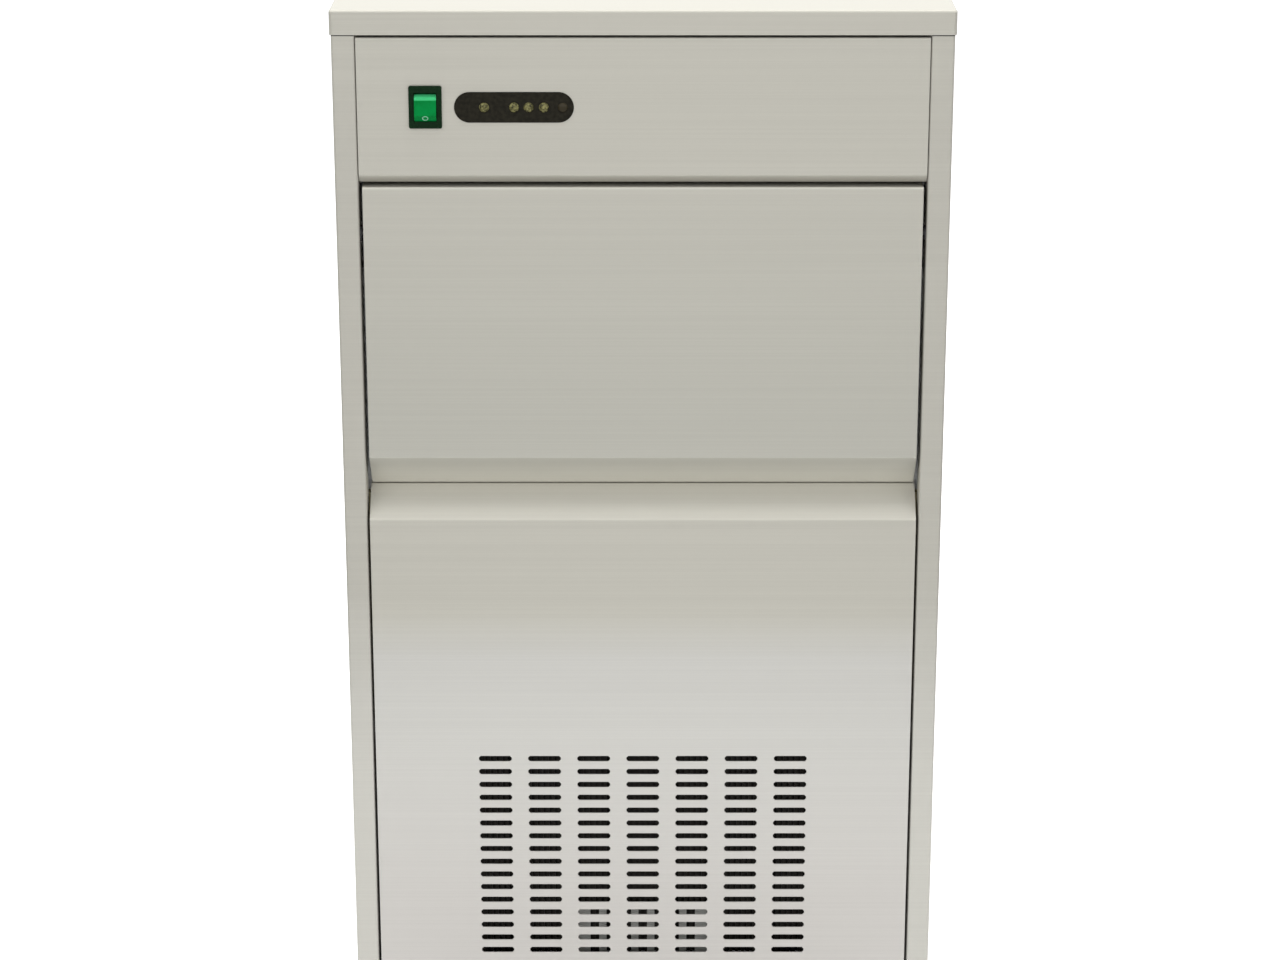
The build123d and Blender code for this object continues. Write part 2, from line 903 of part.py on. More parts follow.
# Lower front panel: its upper edge slopes back and up as the groove's ledge, then runs in under
# the door; the field of round-cornered slots lets air in to the condenser
slot_field_z = base_z + slots_above_base + (slot_rows - 1) * slot_pitch_z / 2
end_cut = slot_end_share * slot_height
slot_outline = [
    (-slot_length / 2, -slot_height / 2 + end_cut),
    (-slot_length / 2 + end_cut, -slot_height / 2),
    (slot_length / 2 - end_cut, -slot_height / 2),
    (slot_length / 2, -slot_height / 2 + end_cut),
    (slot_length / 2, slot_height / 2 - end_cut),
    (slot_length / 2 - end_cut, slot_height / 2),
    (-slot_length / 2 + end_cut, slot_height / 2),
    (-slot_length / 2, slot_height / 2 - end_cut),
]
with BuildPart() as lower_front_panel:
    lower_fold = folded_section(
        side_plane(),
        [
            (frame_face - seat, recess_top),
            (grip_depth, recess_top),
            (0, ledge_z),
            (0, lower_bottom),
            (lower_side + lower_side_gap - seat, lower_bottom),
        ],
    )
    extrude(lower_fold, amount=lower_half, both=True)
    for side in (-1, 1):
        block(
            sorted((side * lower_half, side * (lower_half - sheet))),
            (bend, lower_side),
            (lower_bottom + sheet, ledge_z - bend),
        )
    with BuildSketch(front_plane()):
        with Locations((0, slot_field_z)):
            with GridLocations(slot_pitch_x, slot_pitch_z, slot_columns, slot_rows):
                Polygon(*slot_outline, align=None)
    extrude(amount=-2 * sheet, mode=Mode.SUBTRACT)
keep("lower_front_panel", lower_front_panel)

# Door frame: a hollow moulding round the bin's mouth. Its lower part carries the gasket, and
# above that it steps back to leave the door's upper edge room to swing in
with BuildPart() as door_frame:
    with BuildSketch(side_plane()):
        with BuildLine():
            Polyline(
                (frame_face, frame_bottom),
                (frame_face, hinge_room_z),
                (hinge_room_depth, hinge_room_z),
                (hinge_room_depth, frame_top - liner_wall),
                (frame_ledge, frame_top - liner_wall),
                (frame_ledge, frame_top),
                (frame_back, frame_top),
                (frame_back, frame_bottom),
                close=True,
            )
        make_face()
    extrude(amount=foam_half, both=True)
    block(
        (-room_half, room_half), (frame_face - overrun, frame_back + overrun), (sill_z, header_z),
        mode=Mode.SUBTRACT,
    )
    hollow_depth = (frame_face + liner_wall, frame_back + overrun)
    for side in (-1, 1):
        block(
            sorted((side * liner_half, side * (foam_half - liner_wall))),
            hollow_depth,
            (frame_bottom + liner_wall, hinge_room_z - liner_wall),
            mode=Mode.SUBTRACT,
        )
    block(
        (-liner_half, liner_half), hollow_depth, (frame_bottom + liner_wall, sill_z - liner_wall),
        mode=Mode.SUBTRACT,
    )
keep("door_frame", door_frame)

# Chamber hood: the upper liner, stepped round the control box, open below and in front
with BuildPart() as chamber_hood:
    for half, wall, ends in ((liner_half, liner_wall, 0), (room_half, 0, overrun)):
        with BuildSketch(side_plane()) as hood_side:
            with BuildLine():
                Polyline(
                    (frame_back - ends, bin_rim - ends),
                    (frame_back - ends, header_z + wall),
                    (hood_step - wall, header_z + wall),
                    (hood_step - wall, hood_ceiling + wall),
                    (room_back + wall, hood_ceiling + wall),
                    (room_back + wall, bin_rim - ends),
                    close=True,
                )
            make_face()
        hood_mode = Mode.SUBTRACT if ends else Mode.ADD
        extrude(hood_side.sketch, amount=half, both=True, mode=hood_mode)
    tube_z = hood_ceiling - evaporator_drop
    outlet_z = tube_z + outlet_rise
    hose_z = bin_floor + hose_above_bin
    back_wall = front_plane(room_back - overrun)
    wall_cut = -(liner_wall + 2 * overrun)
    for x, z, radius in (
        (inlet_x, tube_z, evaporator_tube_radius),
        (outlet_x, outlet_z, evaporator_tube_radius),
        (inlet_valve_x, hose_z, hose_radius),
    ):
        round_bar(back_wall, (x, z), radius + seat, wall_cut, mode=Mode.SUBTRACT)
keep("chamber_hood", chamber_hood)

# Ice bin: the lower liner, a tub with a low front wall and ledges that carry the reservoir. Its
# two front corners are round up to the sill and square above it, where the hand reaches in
reservoir_floor = bin_floor + reservoir_above_bin
with BuildPart() as ice_bin:
    block((-liner_half, liner_half), (frame_back, liner_back), (bin_floor - liner_wall, bin_rim))
    block(
        (-room_half, room_half), (frame_back + liner_wall, room_back), (bin_floor, bin_rim),
        mode=Mode.SUBTRACT,
    )
    fillet(ice_bin.edges(Select.LAST).filter_by(Axis.Z), radius=bin_corner)
    block(
        (-room_half, room_half), (frame_back - overrun, frame_back + liner_wall + bin_corner),
        (sill_z, bin_rim + overrun),
        mode=Mode.SUBTRACT,
    )
    for side in (-1, 1):
        block(
            sorted((side * room_half, side * (room_half - ledge_width))),
            (reservoir_front, reservoir_back),
            (reservoir_floor - ledge_height, reservoir_floor),
        )
    round_bar(
        level_plane(bin_floor - liner_wall - overrun), (drain_x, drain_depth),
        drain_radius + slip, liner_wall + 2 * overrun, mode=Mode.SUBTRACT,
    )
keep("ice_bin", ice_bin)

# Cabinet foam, foamed in place round both liners
with BuildPart() as cabinet_foam:
    with BuildSketch(side_plane()):
        with BuildLine():
            Polyline(
                (foam_front, deck_top),
                (foam_back, deck_top),
                (foam_back, foam_top),
                (foam_step, foam_top),
                (foam_step, frame_top + seat),
                (frame_back + seat, frame_top + seat),
                (frame_back + seat, frame_bottom - seat),
                (foam_front, frame_bottom - seat),
                close=True,
            )
        make_face()
    extrude(amount=foam_half, both=True)
    foam_room = (-liner_half - seat, liner_half + seat)
    liner_room = (frame_back - seat, liner_back + seat)
    block(foam_room, liner_room, (bin_floor - liner_wall - seat, bin_rim), mode=Mode.SUBTRACT)
    block(foam_room, liner_room, (bin_rim, header_z + liner_wall + seat), mode=Mode.SUBTRACT)
    block(
        foam_room,
        (hood_step - liner_wall - seat, liner_back + seat),
        (bin_rim, hood_ceiling + liner_wall + seat),
        mode=Mode.SUBTRACT,
    )
    for x, z, radius in (
        (inlet_x, tube_z, evaporator_tube_radius),
        (outlet_x, outlet_z, evaporator_tube_radius),
        (inlet_valve_x, hose_z, hose_radius),
    ):
        round_bar(
            front_plane(liner_back - overrun), (x, z), radius + seat,
            -(foam_wall + 2 * overrun), mode=Mode.SUBTRACT,
        )
    round_bar(
        level_plane(deck_top - overrun), (drain_x, drain_depth), drain_radius + seat,
        foam_wall + 2 * overrun, mode=Mode.SUBTRACT,
    )
keep("cabinet_foam", cabinet_foam)

# Deck: the sheet shelf under the foam, with folded-down sides fastened to the side panels
with BuildPart() as insulation_deck:
    deck_depth = (lower_side + lower_side_gap, foam_back)
    block((-foam_half, foam_half), deck_depth, (deck_top - sheet, deck_top))
    for side in (-1, 1):
        block(
            sorted((side * foam_half, side * (foam_half - sheet))),
            deck_depth,
            (deck_top - lip_height, deck_top),
        )
    block(
        (-foam_half, foam_half), (deck_depth[0], deck_depth[0] + sheet),
        (deck_top - lip_height / 2, deck_top),
    )
    round_bar(
        level_plane(deck_top - sheet - overrun), (drain_x, drain_depth), drain_radius + seat,
        sheet + 2 * overrun, mode=Mode.SUBTRACT,
    )
keep("insulation_deck", insulation_deck)

# Evaporator: one copper tube in rows, with freezing fingers brazed under it
row_depths = [evaporator_middle + (i - (row_count - 1) / 2) * row_pitch for i in range(row_count)]
column_xs = [(i - (column_count - 1) / 2) * column_pitch for i in range(column_count)]
turn_x = row_half + row_pitch / 2
riser_depth = body_depth - sheet - riser_gap / 2
tube_end = foam_back + finger_radius
with BuildPart() as evaporator_tube:
    with BuildLine() as evaporator_route:
        FilletPolyline(
            place(inlet_x, tube_end, tube_z),
            place(inlet_x, row_depths[2], tube_z),
            place(-turn_x, row_depths[2], tube_z),
            place(-turn_x, row_depths[1], tube_z),
            place(turn_x, row_depths[1], tube_z),
            place(turn_x, row_depths[0], tube_z),
            place(outlet_x, row_depths[0], tube_z),
            place(outlet_x, row_depths[0], outlet_z),
            place(outlet_x, tube_end, outlet_z),
            radius=[
                pipe_bend,
                row_pitch / 2 - press,
                row_pitch / 2 - press,
                row_pitch / 2 - press,
                row_pitch / 2 - press,
                outlet_rise / 2 - press,
                outlet_rise / 2 - press,
            ],
        )
    evaporator_start = Plane(origin=evaporator_route.line @ 0, z_dir=evaporator_route.line % 0)
    with BuildSketch(evaporator_start):
        Circle(evaporator_tube_radius)
    sweep(path=evaporator_route.line)
keep("evaporator_tube", evaporator_tube)

finger_low = tube_z - evaporator_tube_radius - finger_length
finger_places = [(x, depth) for x in column_xs for depth in row_depths]
with BuildPart() as freezing_fingers:
    with BuildSketch(level_plane(finger_low + finger_tip)):
        with Locations(finger_places):
            Circle(finger_radius)
    extrude(amount=tube_z - finger_low - finger_tip)
    with BuildSketch(level_plane(finger_low + finger_tip)):
        with Locations(finger_places):
            Circle(finger_radius)
    extrude(amount=-finger_tip, taper=degrees(atan2(finger_taper, finger_tip)))
    for depth in row_depths:
        round_bar(
            side_plane(-turn_x), (depth, tube_z), evaporator_tube_radius + press,
            2 * turn_x, mode=Mode.SUBTRACT,
        )
        block(
            (-turn_x, turn_x), (depth - row_pitch / 2, depth + row_pitch / 2),
            (tube_z - evaporator_tube_radius / 2, tube_z + overrun), mode=Mode.SUBTRACT,
        )
keep("freezing_fingers", freezing_fingers)

# Water tray: an open dish that tips about its rear edge to let the ice drop
tray_half = columns_half + finger_radius + ice_wall + tray_wall
tray_front = row_depths[0] - finger_radius - ice_wall - tray_wall
tray_back = row_depths[2] + finger_radius + ice_wall + tray_wall
pivot_depth = tray_back + pivot_behind
pivot_z = tube_z - pivot_drop
tray_low = finger_low - tray_below_tips - tray_wall
with BuildPart() as water_tray:
    block((-tray_half, tray_half), (tray_front, tray_back), (tray_low, pivot_z))
    fillet(water_tray.faces().sort_by(Axis.Z)[0].edges(), radius=tray_corner)
    offset(amount=-tray_wall, openings=water_tray.faces().sort_by(Axis.Z)[-1])
    for side in (-1, 1):
        inner_end = tray_half - tray_wall
        boss_x = sorted((side * inner_end, side * (tray_half + trunnion_boss_reach)))
        block(boss_x, (tray_back - 2 * pivot_behind, pivot_depth), (pivot_z - pivot_behind, pivot_z))
        round_bar(
            side_plane(side * inner_end), (pivot_depth, pivot_z), trunnion_boss_radius,
            side * (tray_wall + trunnion_boss_reach),
        )
        round_bar(
            side_plane(side * (inner_end - overrun)), (pivot_depth, pivot_z),
            trunnion_radius + press,
            side * (tray_wall + trunnion_boss_reach + 2 * overrun), mode=Mode.SUBTRACT,
        )
keep("water_tray", water_tray)

cheek_x = tray_half + cheek_gap
with BuildPart() as tray_trunnions:
    for side, reach in ((-1, cheek_wall), (1, cheek_wall + drive_reach)):
        round_bar(
            side_plane(side * (tray_half - tray_wall)), (pivot_depth, pivot_z), trunnion_radius,
            side * (tray_wall + cheek_gap + reach),
        )
keep("tray_trunnions", tray_trunnions)

# Bushes in the cheeks of the mechanism frame
cheek_bush_radius = trunnion_radius + running_gap + bush_wall
with BuildPart() as tray_bushes:
    for side in (-1, 1):
        cheek_face = side_plane(side * cheek_x)
        round_bar(
            cheek_face, (pivot_depth, pivot_z), bush_flange_radius + bush_wall,
            -side * bush_wall,
        )
        round_bar(cheek_face, (pivot_depth, pivot_z), cheek_bush_radius, side * cheek_wall)
        round_bar(
            side_plane(side * (cheek_x - bush_wall - overrun)), (pivot_depth, pivot_z),
            trunnion_radius + running_gap, side * (bush_wall + cheek_wall + 2 * overrun),
            mode=Mode.SUBTRACT,
        )
keep("tray_bushes", tray_bushes)

# Mechanism frame: a plate under the hood's ceiling with two cheeks for the tray and three
# notched hangers for the evaporator
plate_low = hood_ceiling - frame_plate
with BuildPart() as mechanism_frame:
    block(
        (-cheek_x - cheek_wall, cheek_x + cheek_wall), (cheek_front, cheek_back),
        (plate_low, hood_ceiling),
    )
    with BuildSketch(level_plane(plate_low)):
        with Locations((0, (cheek_front + cheek_back) / 2)):
            with GridLocations(hanger_x, 0, 2, 1):
                Rectangle(hanger_x - 2 * trunnion_boss_radius, cheek_back - cheek_front - row_pitch)
    extrude(amount=frame_plate, mode=Mode.SUBTRACT)
    with BuildSketch(side_plane(cheek_x)) as cheek_side:
        with BuildLine():
            Polyline(
                (cheek_front, plate_low),
                (cheek_back, plate_low),
                (pivot_depth + 2 * trunnion_boss_radius, pivot_z - trunnion_boss_radius),
                (pivot_depth - 2 * trunnion_boss_radius, pivot_z - trunnion_boss_radius),
                close=True,
            )
        make_face()
        with Locations((pivot_depth, pivot_z)):
            Circle(cheek_bush_radius + press, mode=Mode.SUBTRACT)
    extrude(cheek_side.sketch, amount=cheek_wall)
    mirror(mechanism_frame.solids(Select.LAST), about=Plane.YZ)
    hanger_depth = (row_depths[0] - finger_radius, row_depths[2] + finger_radius)
    for x in (-hanger_x, 0, hanger_x):
        block((x - hanger_wall / 2, x + hanger_wall / 2), hanger_depth, (tube_z, plate_low))
    block(
        (-hanger_x - hanger_wall / 2, hanger_x + hanger_wall / 2),
        (hanger_depth[0], cheek_front + frame_plate),
        (plate_low, hood_ceiling),
    )
    for depth in row_depths:
        round_bar(
            side_plane(-cheek_x + cheek_gap), (depth, tube_z), evaporator_tube_radius + press,
            2 * (cheek_x - cheek_gap), mode=Mode.SUBTRACT,
        )
keep("mechanism_frame", mechanism_frame)

# Tilt motor: a gearbox on the right cheek with the motor can beyond it
gearbox_x = cheek_x + cheek_wall
with BuildPart() as tilt_motor:
    block(
        (gearbox_x, gearbox_x + gearbox_length),
        (pivot_depth - gearbox_size / 2, pivot_depth + gearbox_size / 2),
        (pivot_z - gearbox_size / 2, pivot_z + gearbox_size / 2),
    )
    fillet(tilt_motor.edges().filter_by(Axis.X), radius=gearbox_round)
    round_bar(
        side_plane(gearbox_x + gearbox_length), (pivot_depth, pivot_z), tilt_can_radius,
        tilt_can_length,
    )
    round_bar(
        side_plane(gearbox_x - overrun), (pivot_depth, pivot_z), trunnion_radius + running_gap,
        drive_reach + 2 * overrun, mode=Mode.SUBTRACT,
    )
keep("tilt_motor", tilt_motor)

# Ice chute: rails and slats on a slope, so that the ice slides into the bin and the water that
# the tray pours out runs through into the reservoir
chute_front_z = bin_floor + chute_front_above_bin
chute_back_z = bin_floor + chute_back_above_bin
chute_slope = (chute_back_z - chute_front_z) / (chute_back - chute_front)


def chute_strip(x, wall, height):
    """One straight strip of the chute, from its lower front edge to its upper back edge."""
    with BuildSketch(side_plane(x - wall / 2)) as strip:
        with BuildLine():
            Polyline(
                (chute_front, chute_front_z),
                (chute_back, chute_back_z),
                (chute_back, chute_back_z + height),
                (chute_front, chute_front_z + height),
                close=True,
            )
        make_face()
    extrude(strip.sketch, amount=wall)


with BuildPart() as ice_chute:
    rail_x = tray_half - rail_wall
    for x in (-rail_x, rail_x):
        chute_strip(x, rail_wall, rail_height)
    slat_pitch = 2 * rail_x / (slat_count + 1)
    for i in range(slat_count):
        chute_strip(-rail_x + (i + 1) * slat_pitch, slat_width, slat_height)
    for depth in (reservoir_front, reservoir_back - 2 * slat_height):
        bar_z = chute_front_z + chute_slope * (depth - chute_front)
        with BuildSketch(side_plane()) as cross_bar:
            with BuildLine():
                Polyline(
                    (depth, bar_z),
                    (depth + slat_height, bar_z + chute_slope * slat_height),
                    (depth + slat_height, bar_z + chute_slope * slat_height + slat_width),
                    (depth, bar_z + slat_width),
                    close=True,
                )
            make_face()
        extrude(cross_bar.sketch, amount=rail_x, both=True)
keep("ice_chute", ice_chute)

# Water reservoir: a wide trough whose rim follows the chute's slope
rim_front = chute_front_z + chute_slope * (reservoir_front - chute_front) - seat
rim_back = chute_front_z + chute_slope * (reservoir_back - chute_front) - seat
with BuildPart() as water_reservoir:
    with BuildSketch(side_plane()):
        with BuildLine():
            Polyline(
                (reservoir_front, reservoir_floor),
                (reservoir_back, reservoir_floor),
                (reservoir_back, rim_back),
                (reservoir_front, rim_front),
                close=True,
            )
        make_face()
    extrude(amount=room_half - reservoir_side_gap, both=True)
    offset(amount=-liner_wall, openings=water_reservoir.faces().sort_by(Axis.Z)[-1])
keep("water_reservoir", water_reservoir)

# Water pump: volute on the reservoir's floor, column, and motor above the water
water_floor = reservoir_floor + liner_wall
pump_outlet_z = water_floor + pump_base_height / 2
with BuildPart() as water_pump:
    stack_z = water_floor
    for radius, height in (
        (pump_base_radius, pump_base_height),
        (pump_neck_radius, pump_neck_height),
        (pump_motor_radius, pump_motor_height),
    ):
        round_bar(level_plane(stack_z), (pump_x, pump_depth), radius, height)
        stack_z = stack_z + height
    fillet(water_pump.edges().group_by(Axis.Z)[-1], radius=pump_motor_round)
    round_bar(
        front_plane(pump_depth), (pump_x, pump_outlet_z), pump_stub_radius,
        pump_base_radius + pump_stub_length,
    )
keep("water_pump", water_pump)

fill_start = pump_depth - pump_base_radius - pump_stub_length
spout_z = pivot_z + fill_spout_above_rim
fill_spout_x = fill_spout_inset - tray_half
tray_fill_tube = bent_tube(
    [
        place(pump_x, fill_start, pump_outlet_z),
        place(pump_x, fill_spout_depth, pump_outlet_z),
        place(pump_x, fill_spout_depth, pivot_z + fill_loop_above_rim),
        place(fill_spout_x, fill_spout_depth, pivot_z + fill_loop_above_rim),
        place(fill_spout_x, fill_spout_depth, spout_z),
    ],
    fill_tube_radius,
    fill_tube_bend,
)
keep("tray_fill_tube", tray_fill_tube)

# Float switch: a stem with two collars, and the float that slides between them
float_low = water_floor + float_above_foot + collar_height + seat
with BuildPart() as float_stem:
    float_place = (float_x, float_depth)
    round_bar(level_plane(water_floor), float_place, stem_foot_radius, stem_foot_height)
    round_bar(level_plane(water_floor), float_place, stem_radius, stem_height)
    collar_levels = (
        water_floor + float_above_foot,
        float_low + float_height + float_travel + seat,
    )
    for height in collar_levels:
        round_bar(level_plane(height), float_place, collar_radius, collar_height)
keep("float_stem", float_stem)

with BuildPart() as float_body:
    with BuildSketch(level_plane(float_low)):
        with Locations((float_x, float_depth)):
            Circle(float_radius)
            Circle(stem_radius + seat, mode=Mode.SUBTRACT)
    extrude(amount=float_height)
keep("float", float_body)

# Ice level sensor: a closed tube through which the full bin is felt
with BuildPart() as ice_level_sensor:
    sensor_place = (sensor_depth, bin_floor + sensor_above_bin)
    round_bar(side_plane(-room_half), sensor_place, sensor_flange_radius, sensor_flange_wall)
    round_bar(side_plane(-room_half), sensor_place, sensor_radius, sensor_length)
    fillet(ice_level_sensor.edges().group_by(Axis.X)[-1], radius=sensor_radius / 2)
keep("ice_level_sensor", ice_level_sensor)

# Base tray: a pan on the side panels' floor flanges, with holes for the feet
foot_x = body_half - foot_inset_x
foot_middle = body_depth / 2
foot_spread = body_depth - 2 * foot_inset_y
foot_places = {
    "front_left": (-foot_x, foot_middle - foot_spread / 2),
    "front_right": (foot_x, foot_middle - foot_spread / 2),
    "rear_left": (-foot_x, foot_middle + foot_spread / 2),
    "rear_right": (foot_x, foot_middle + foot_spread / 2),
}
with BuildPart() as base_tray:
    block(
        (-foam_half, foam_half),
        (lower_side + lower_side_gap, body_depth - sheet - tray_back_gap),
        (base_z + sheet, base_z + sheet + tray_rise),
    )
    offset(amount=-tray_sheet, openings=base_tray.faces().sort_by(Axis.Z)[-1])
    with BuildSketch(level_plane(base_z)):
        with Locations(list(foot_places.values())):
            Circle(stud_radius + stud_gap)
    extrude(amount=tray_rise, mode=Mode.SUBTRACT)
keep("base_tray", base_tray)

# Feet: a moulded pad on a threaded stud, screwed in and out of the base
for foot_name, foot_place in foot_places.items():
    with BuildPart() as foot:
        round_bar(level_plane(0), foot_place, foot_pad_radius, foot_pad_height)
        with BuildSketch(level_plane(foot_pad_height)):
            with Locations(foot_place):
                Circle(foot_pad_radius)
        with BuildSketch(level_plane(foot_neck_height)):
            with Locations(foot_place):
                Circle(foot_neck_radius)
        loft()
        round_bar(
            level_plane(foot_neck_height), foot_place, stud_radius,
            base_z + stud_reach - foot_neck_height,
        )
    keep(f"foot_{foot_name}", foot)

with BuildPart() as foot_lock_nuts:
    with BuildSketch(level_plane(base_z + sheet - nut_height)):
        with Locations(list(foot_places.values())):
            RegularPolygon(nut_across / 2, nut_sides, major_radius=False)
            Circle(stud_radius + stud_gap, mode=Mode.SUBTRACT)
    extrude(amount=nut_height)
keep("foot_lock_nuts", foot_lock_nuts)

# Condenser: a finned block between two upright header tubes
condenser_low = base_z + condenser_above_base
condenser_high = deck_top - condenser_below_deck
condenser_height = condenser_high - condenser_low
condenser_back = condenser_front + condenser_depth
condenser_middle = condenser_front + condenser_depth / 2
with BuildPart() as condenser:
    block(
        (-condenser_half, condenser_half), (condenser_front, condenser_back),
        (condenser_low, condenser_high),
    )
    with BuildSketch(level_plane(condenser_low)):
        with Locations((0, condenser_front + fin_groove / 2)):
            with GridLocations(fin_pitch, 0, int(2 * condenser_half / fin_pitch) - 1, 1):
                Rectangle(fin_gap, fin_groove)
    extrude(amount=condenser_height, mode=Mode.SUBTRACT)
    for side in (-1, 1):
        round_bar(
            level_plane(condenser_low), (side * (condenser_half + header_radius / 2), condenser_middle),
            header_radius, condenser_height,
        )
    round_bar(
        side_plane(-condenser_half), (condenser_middle, condenser_high - header_stub_inset),
        discharge_radius, -(2 * header_radius + header_stub_length),
    )
    round_bar(
        side_plane(condenser_half), (condenser_middle, condenser_low + header_stub_inset),
        liquid_radius, 2 * header_radius + header_stub_length,
    )
keep("condenser", condenser)

# Condenser bracket: a slotted upright strip behind the lowest ventilation slots
bracket_depth = lower_side + lower_side_gap + tray_sheet + seat
with BuildPart() as condenser_bracket:
    block(
        (-bracket_width / 2, bracket_width / 2), (bracket_depth, bracket_depth + bracket_sheet),
        (tray_floor, tray_floor + bracket_height),
    )
    block(
        (-bracket_width / 2, bracket_width / 2), (bracket_depth, condenser_front - seat),
        (tray_floor + bracket_height - bracket_sheet, tray_floor + bracket_height),
    )
    with BuildSketch(front_plane(bracket_depth + overrun)):
        with Locations((0, tray_floor + bracket_height / 2)):
            with GridLocations(bar_pitch, 0, int(bracket_width / bar_pitch) - 1, 1):
                Rectangle(bar_gap, bar_gap_height)
    extrude(amount=2 * overrun, mode=Mode.SUBTRACT)
keep("condenser_bracket", condenser_bracket)

# Fan shroud: a shallow box behind the condenser, a round bell, and arms that hold the motor
fan_z = (condenser_low + condenser_high) / 2
bell_radius = condenser_height / 2 - bell_land
fan_radius = bell_radius - fan_tip_gap
shroud_front = condenser_back + seat
shroud_back = shroud_front + shroud_depth
bell_back = shroud_back + bell_depth
with BuildPart() as fan_shroud:
    block(
        (-condenser_half, condenser_half), (shroud_front, shroud_back),
        (condenser_low, condenser_high),
    )
    offset(amount=-shroud_wall, openings=fan_shroud.faces().sort_by(Axis.Y)[0])
    round_bar(
        front_plane(bell_back), (0, fan_z), bell_radius + shroud_wall, bell_depth + shroud_wall
    )
    round_bar(
        front_plane(bell_back + overrun), (0, fan_z), bell_radius,
        bell_depth + shroud_wall + 2 * overrun, mode=Mode.SUBTRACT,
    )
    with BuildSketch(front_plane(bell_back)) as motor_arms:
        with Locations((0, fan_z)):
            Circle(motor_ring_radius)
            with PolarLocations((bell_radius + motor_ring_radius) / 2, arm_count, arm_start_angle):
                Rectangle(bell_radius - motor_ring_radius + 2 * shroud_wall, arm_width)
            Circle(motor_ring_radius - motor_ring_wall, mode=Mode.SUBTRACT)
    extrude(motor_arms.sketch, amount=arm_wall)
    for side in (-1, 1):
        leg_x = side * (condenser_half - shroud_leg_inset - shroud_leg_width / 2)
        block(
            (leg_x - shroud_leg_width / 2, leg_x + shroud_leg_width / 2),
            (shroud_front, shroud_back), (tray_floor, condenser_low + shroud_wall),
        )
keep("fan_shroud", fan_shroud)

# Fan motor, its shaft and the fan
motor_face = bell_back
fan_front = shroud_back + fan_setback - fan_hub_length / 2
shaft_end = motor_face + fan_shaft_reach
with BuildPart() as fan_motor:
    round_bar(front_plane(motor_face), (0, fan_z), motor_radius, -motor_length)
    fillet(fan_motor.edges().group_by(Axis.Y)[-1], radius=motor_round)
    round_bar(front_plane(motor_face), (0, fan_z), motor_nose_radius, motor_nose_length)
    round_bar(
        front_plane(shaft_end + overrun), (0, fan_z), fan_shaft_radius + running_gap,
        fan_shaft_reach + motor_nose_length + 2 * overrun, mode=Mode.SUBTRACT,
    )
keep("fan_motor", fan_motor)

with BuildPart() as fan_shaft:
    round_bar(front_plane(shaft_end), (0, fan_z), fan_shaft_radius, shaft_end - fan_front)
keep("fan_shaft", fan_shaft)


def blade_section(radius, angle, chord, pitch):
    """The curved section of a blade, square to the spoke at an angle round the shaft."""
    spoke = Vector(cos(angle), 0, sin(angle))
    across = Vector(-sin(angle), 0, cos(angle))
    chord_line = across * cos(radians(pitch)) + Vector(0, 1, 0) * sin(radians(pitch))
    centre = Vector(*place(0, fan_front + fan_hub_length / 2, fan_z)) + spoke * radius
    camber = chord * blade_camber_share
    with BuildSketch(Plane(origin=centre, x_dir=chord_line, z_dir=spoke)) as section:
        with BuildLine():
            ThreePointArc((-chord / 2, 0), (0, camber), (chord / 2, 0))
            ThreePointArc((chord / 2, 0), (0, camber - blade_wall), (-chord / 2, 0))
        make_face()
    return section.sketch.face()


tip_distance = sqrt(fan_radius**2 - (blade_tip_chord / 2) ** 2)
with BuildPart() as fan_blades:
    round_bar(
        front_plane(fan_front + fan_hub_length), (0, fan_z), fan_hub_radius, fan_hub_length
    )
    for i in range(blade_count):
        blade_angle = radians(360 * i / blade_count)
        root = blade_section(
            fan_hub_radius * blade_root_share, blade_angle, blade_root_chord, blade_root_pitch
        )
        tip = blade_section(tip_distance, blade_angle, blade_tip_chord, blade_tip_pitch)
        loft([root, tip], ruled=True)
    round_bar(
        front_plane(fan_front + fan_hub_length + overrun), (0, fan_z), fan_shaft_radius + press,
        fan_hub_length + 2 * overrun, mode=Mode.SUBTRACT,
    )
keep("fan_blades", fan_blades)

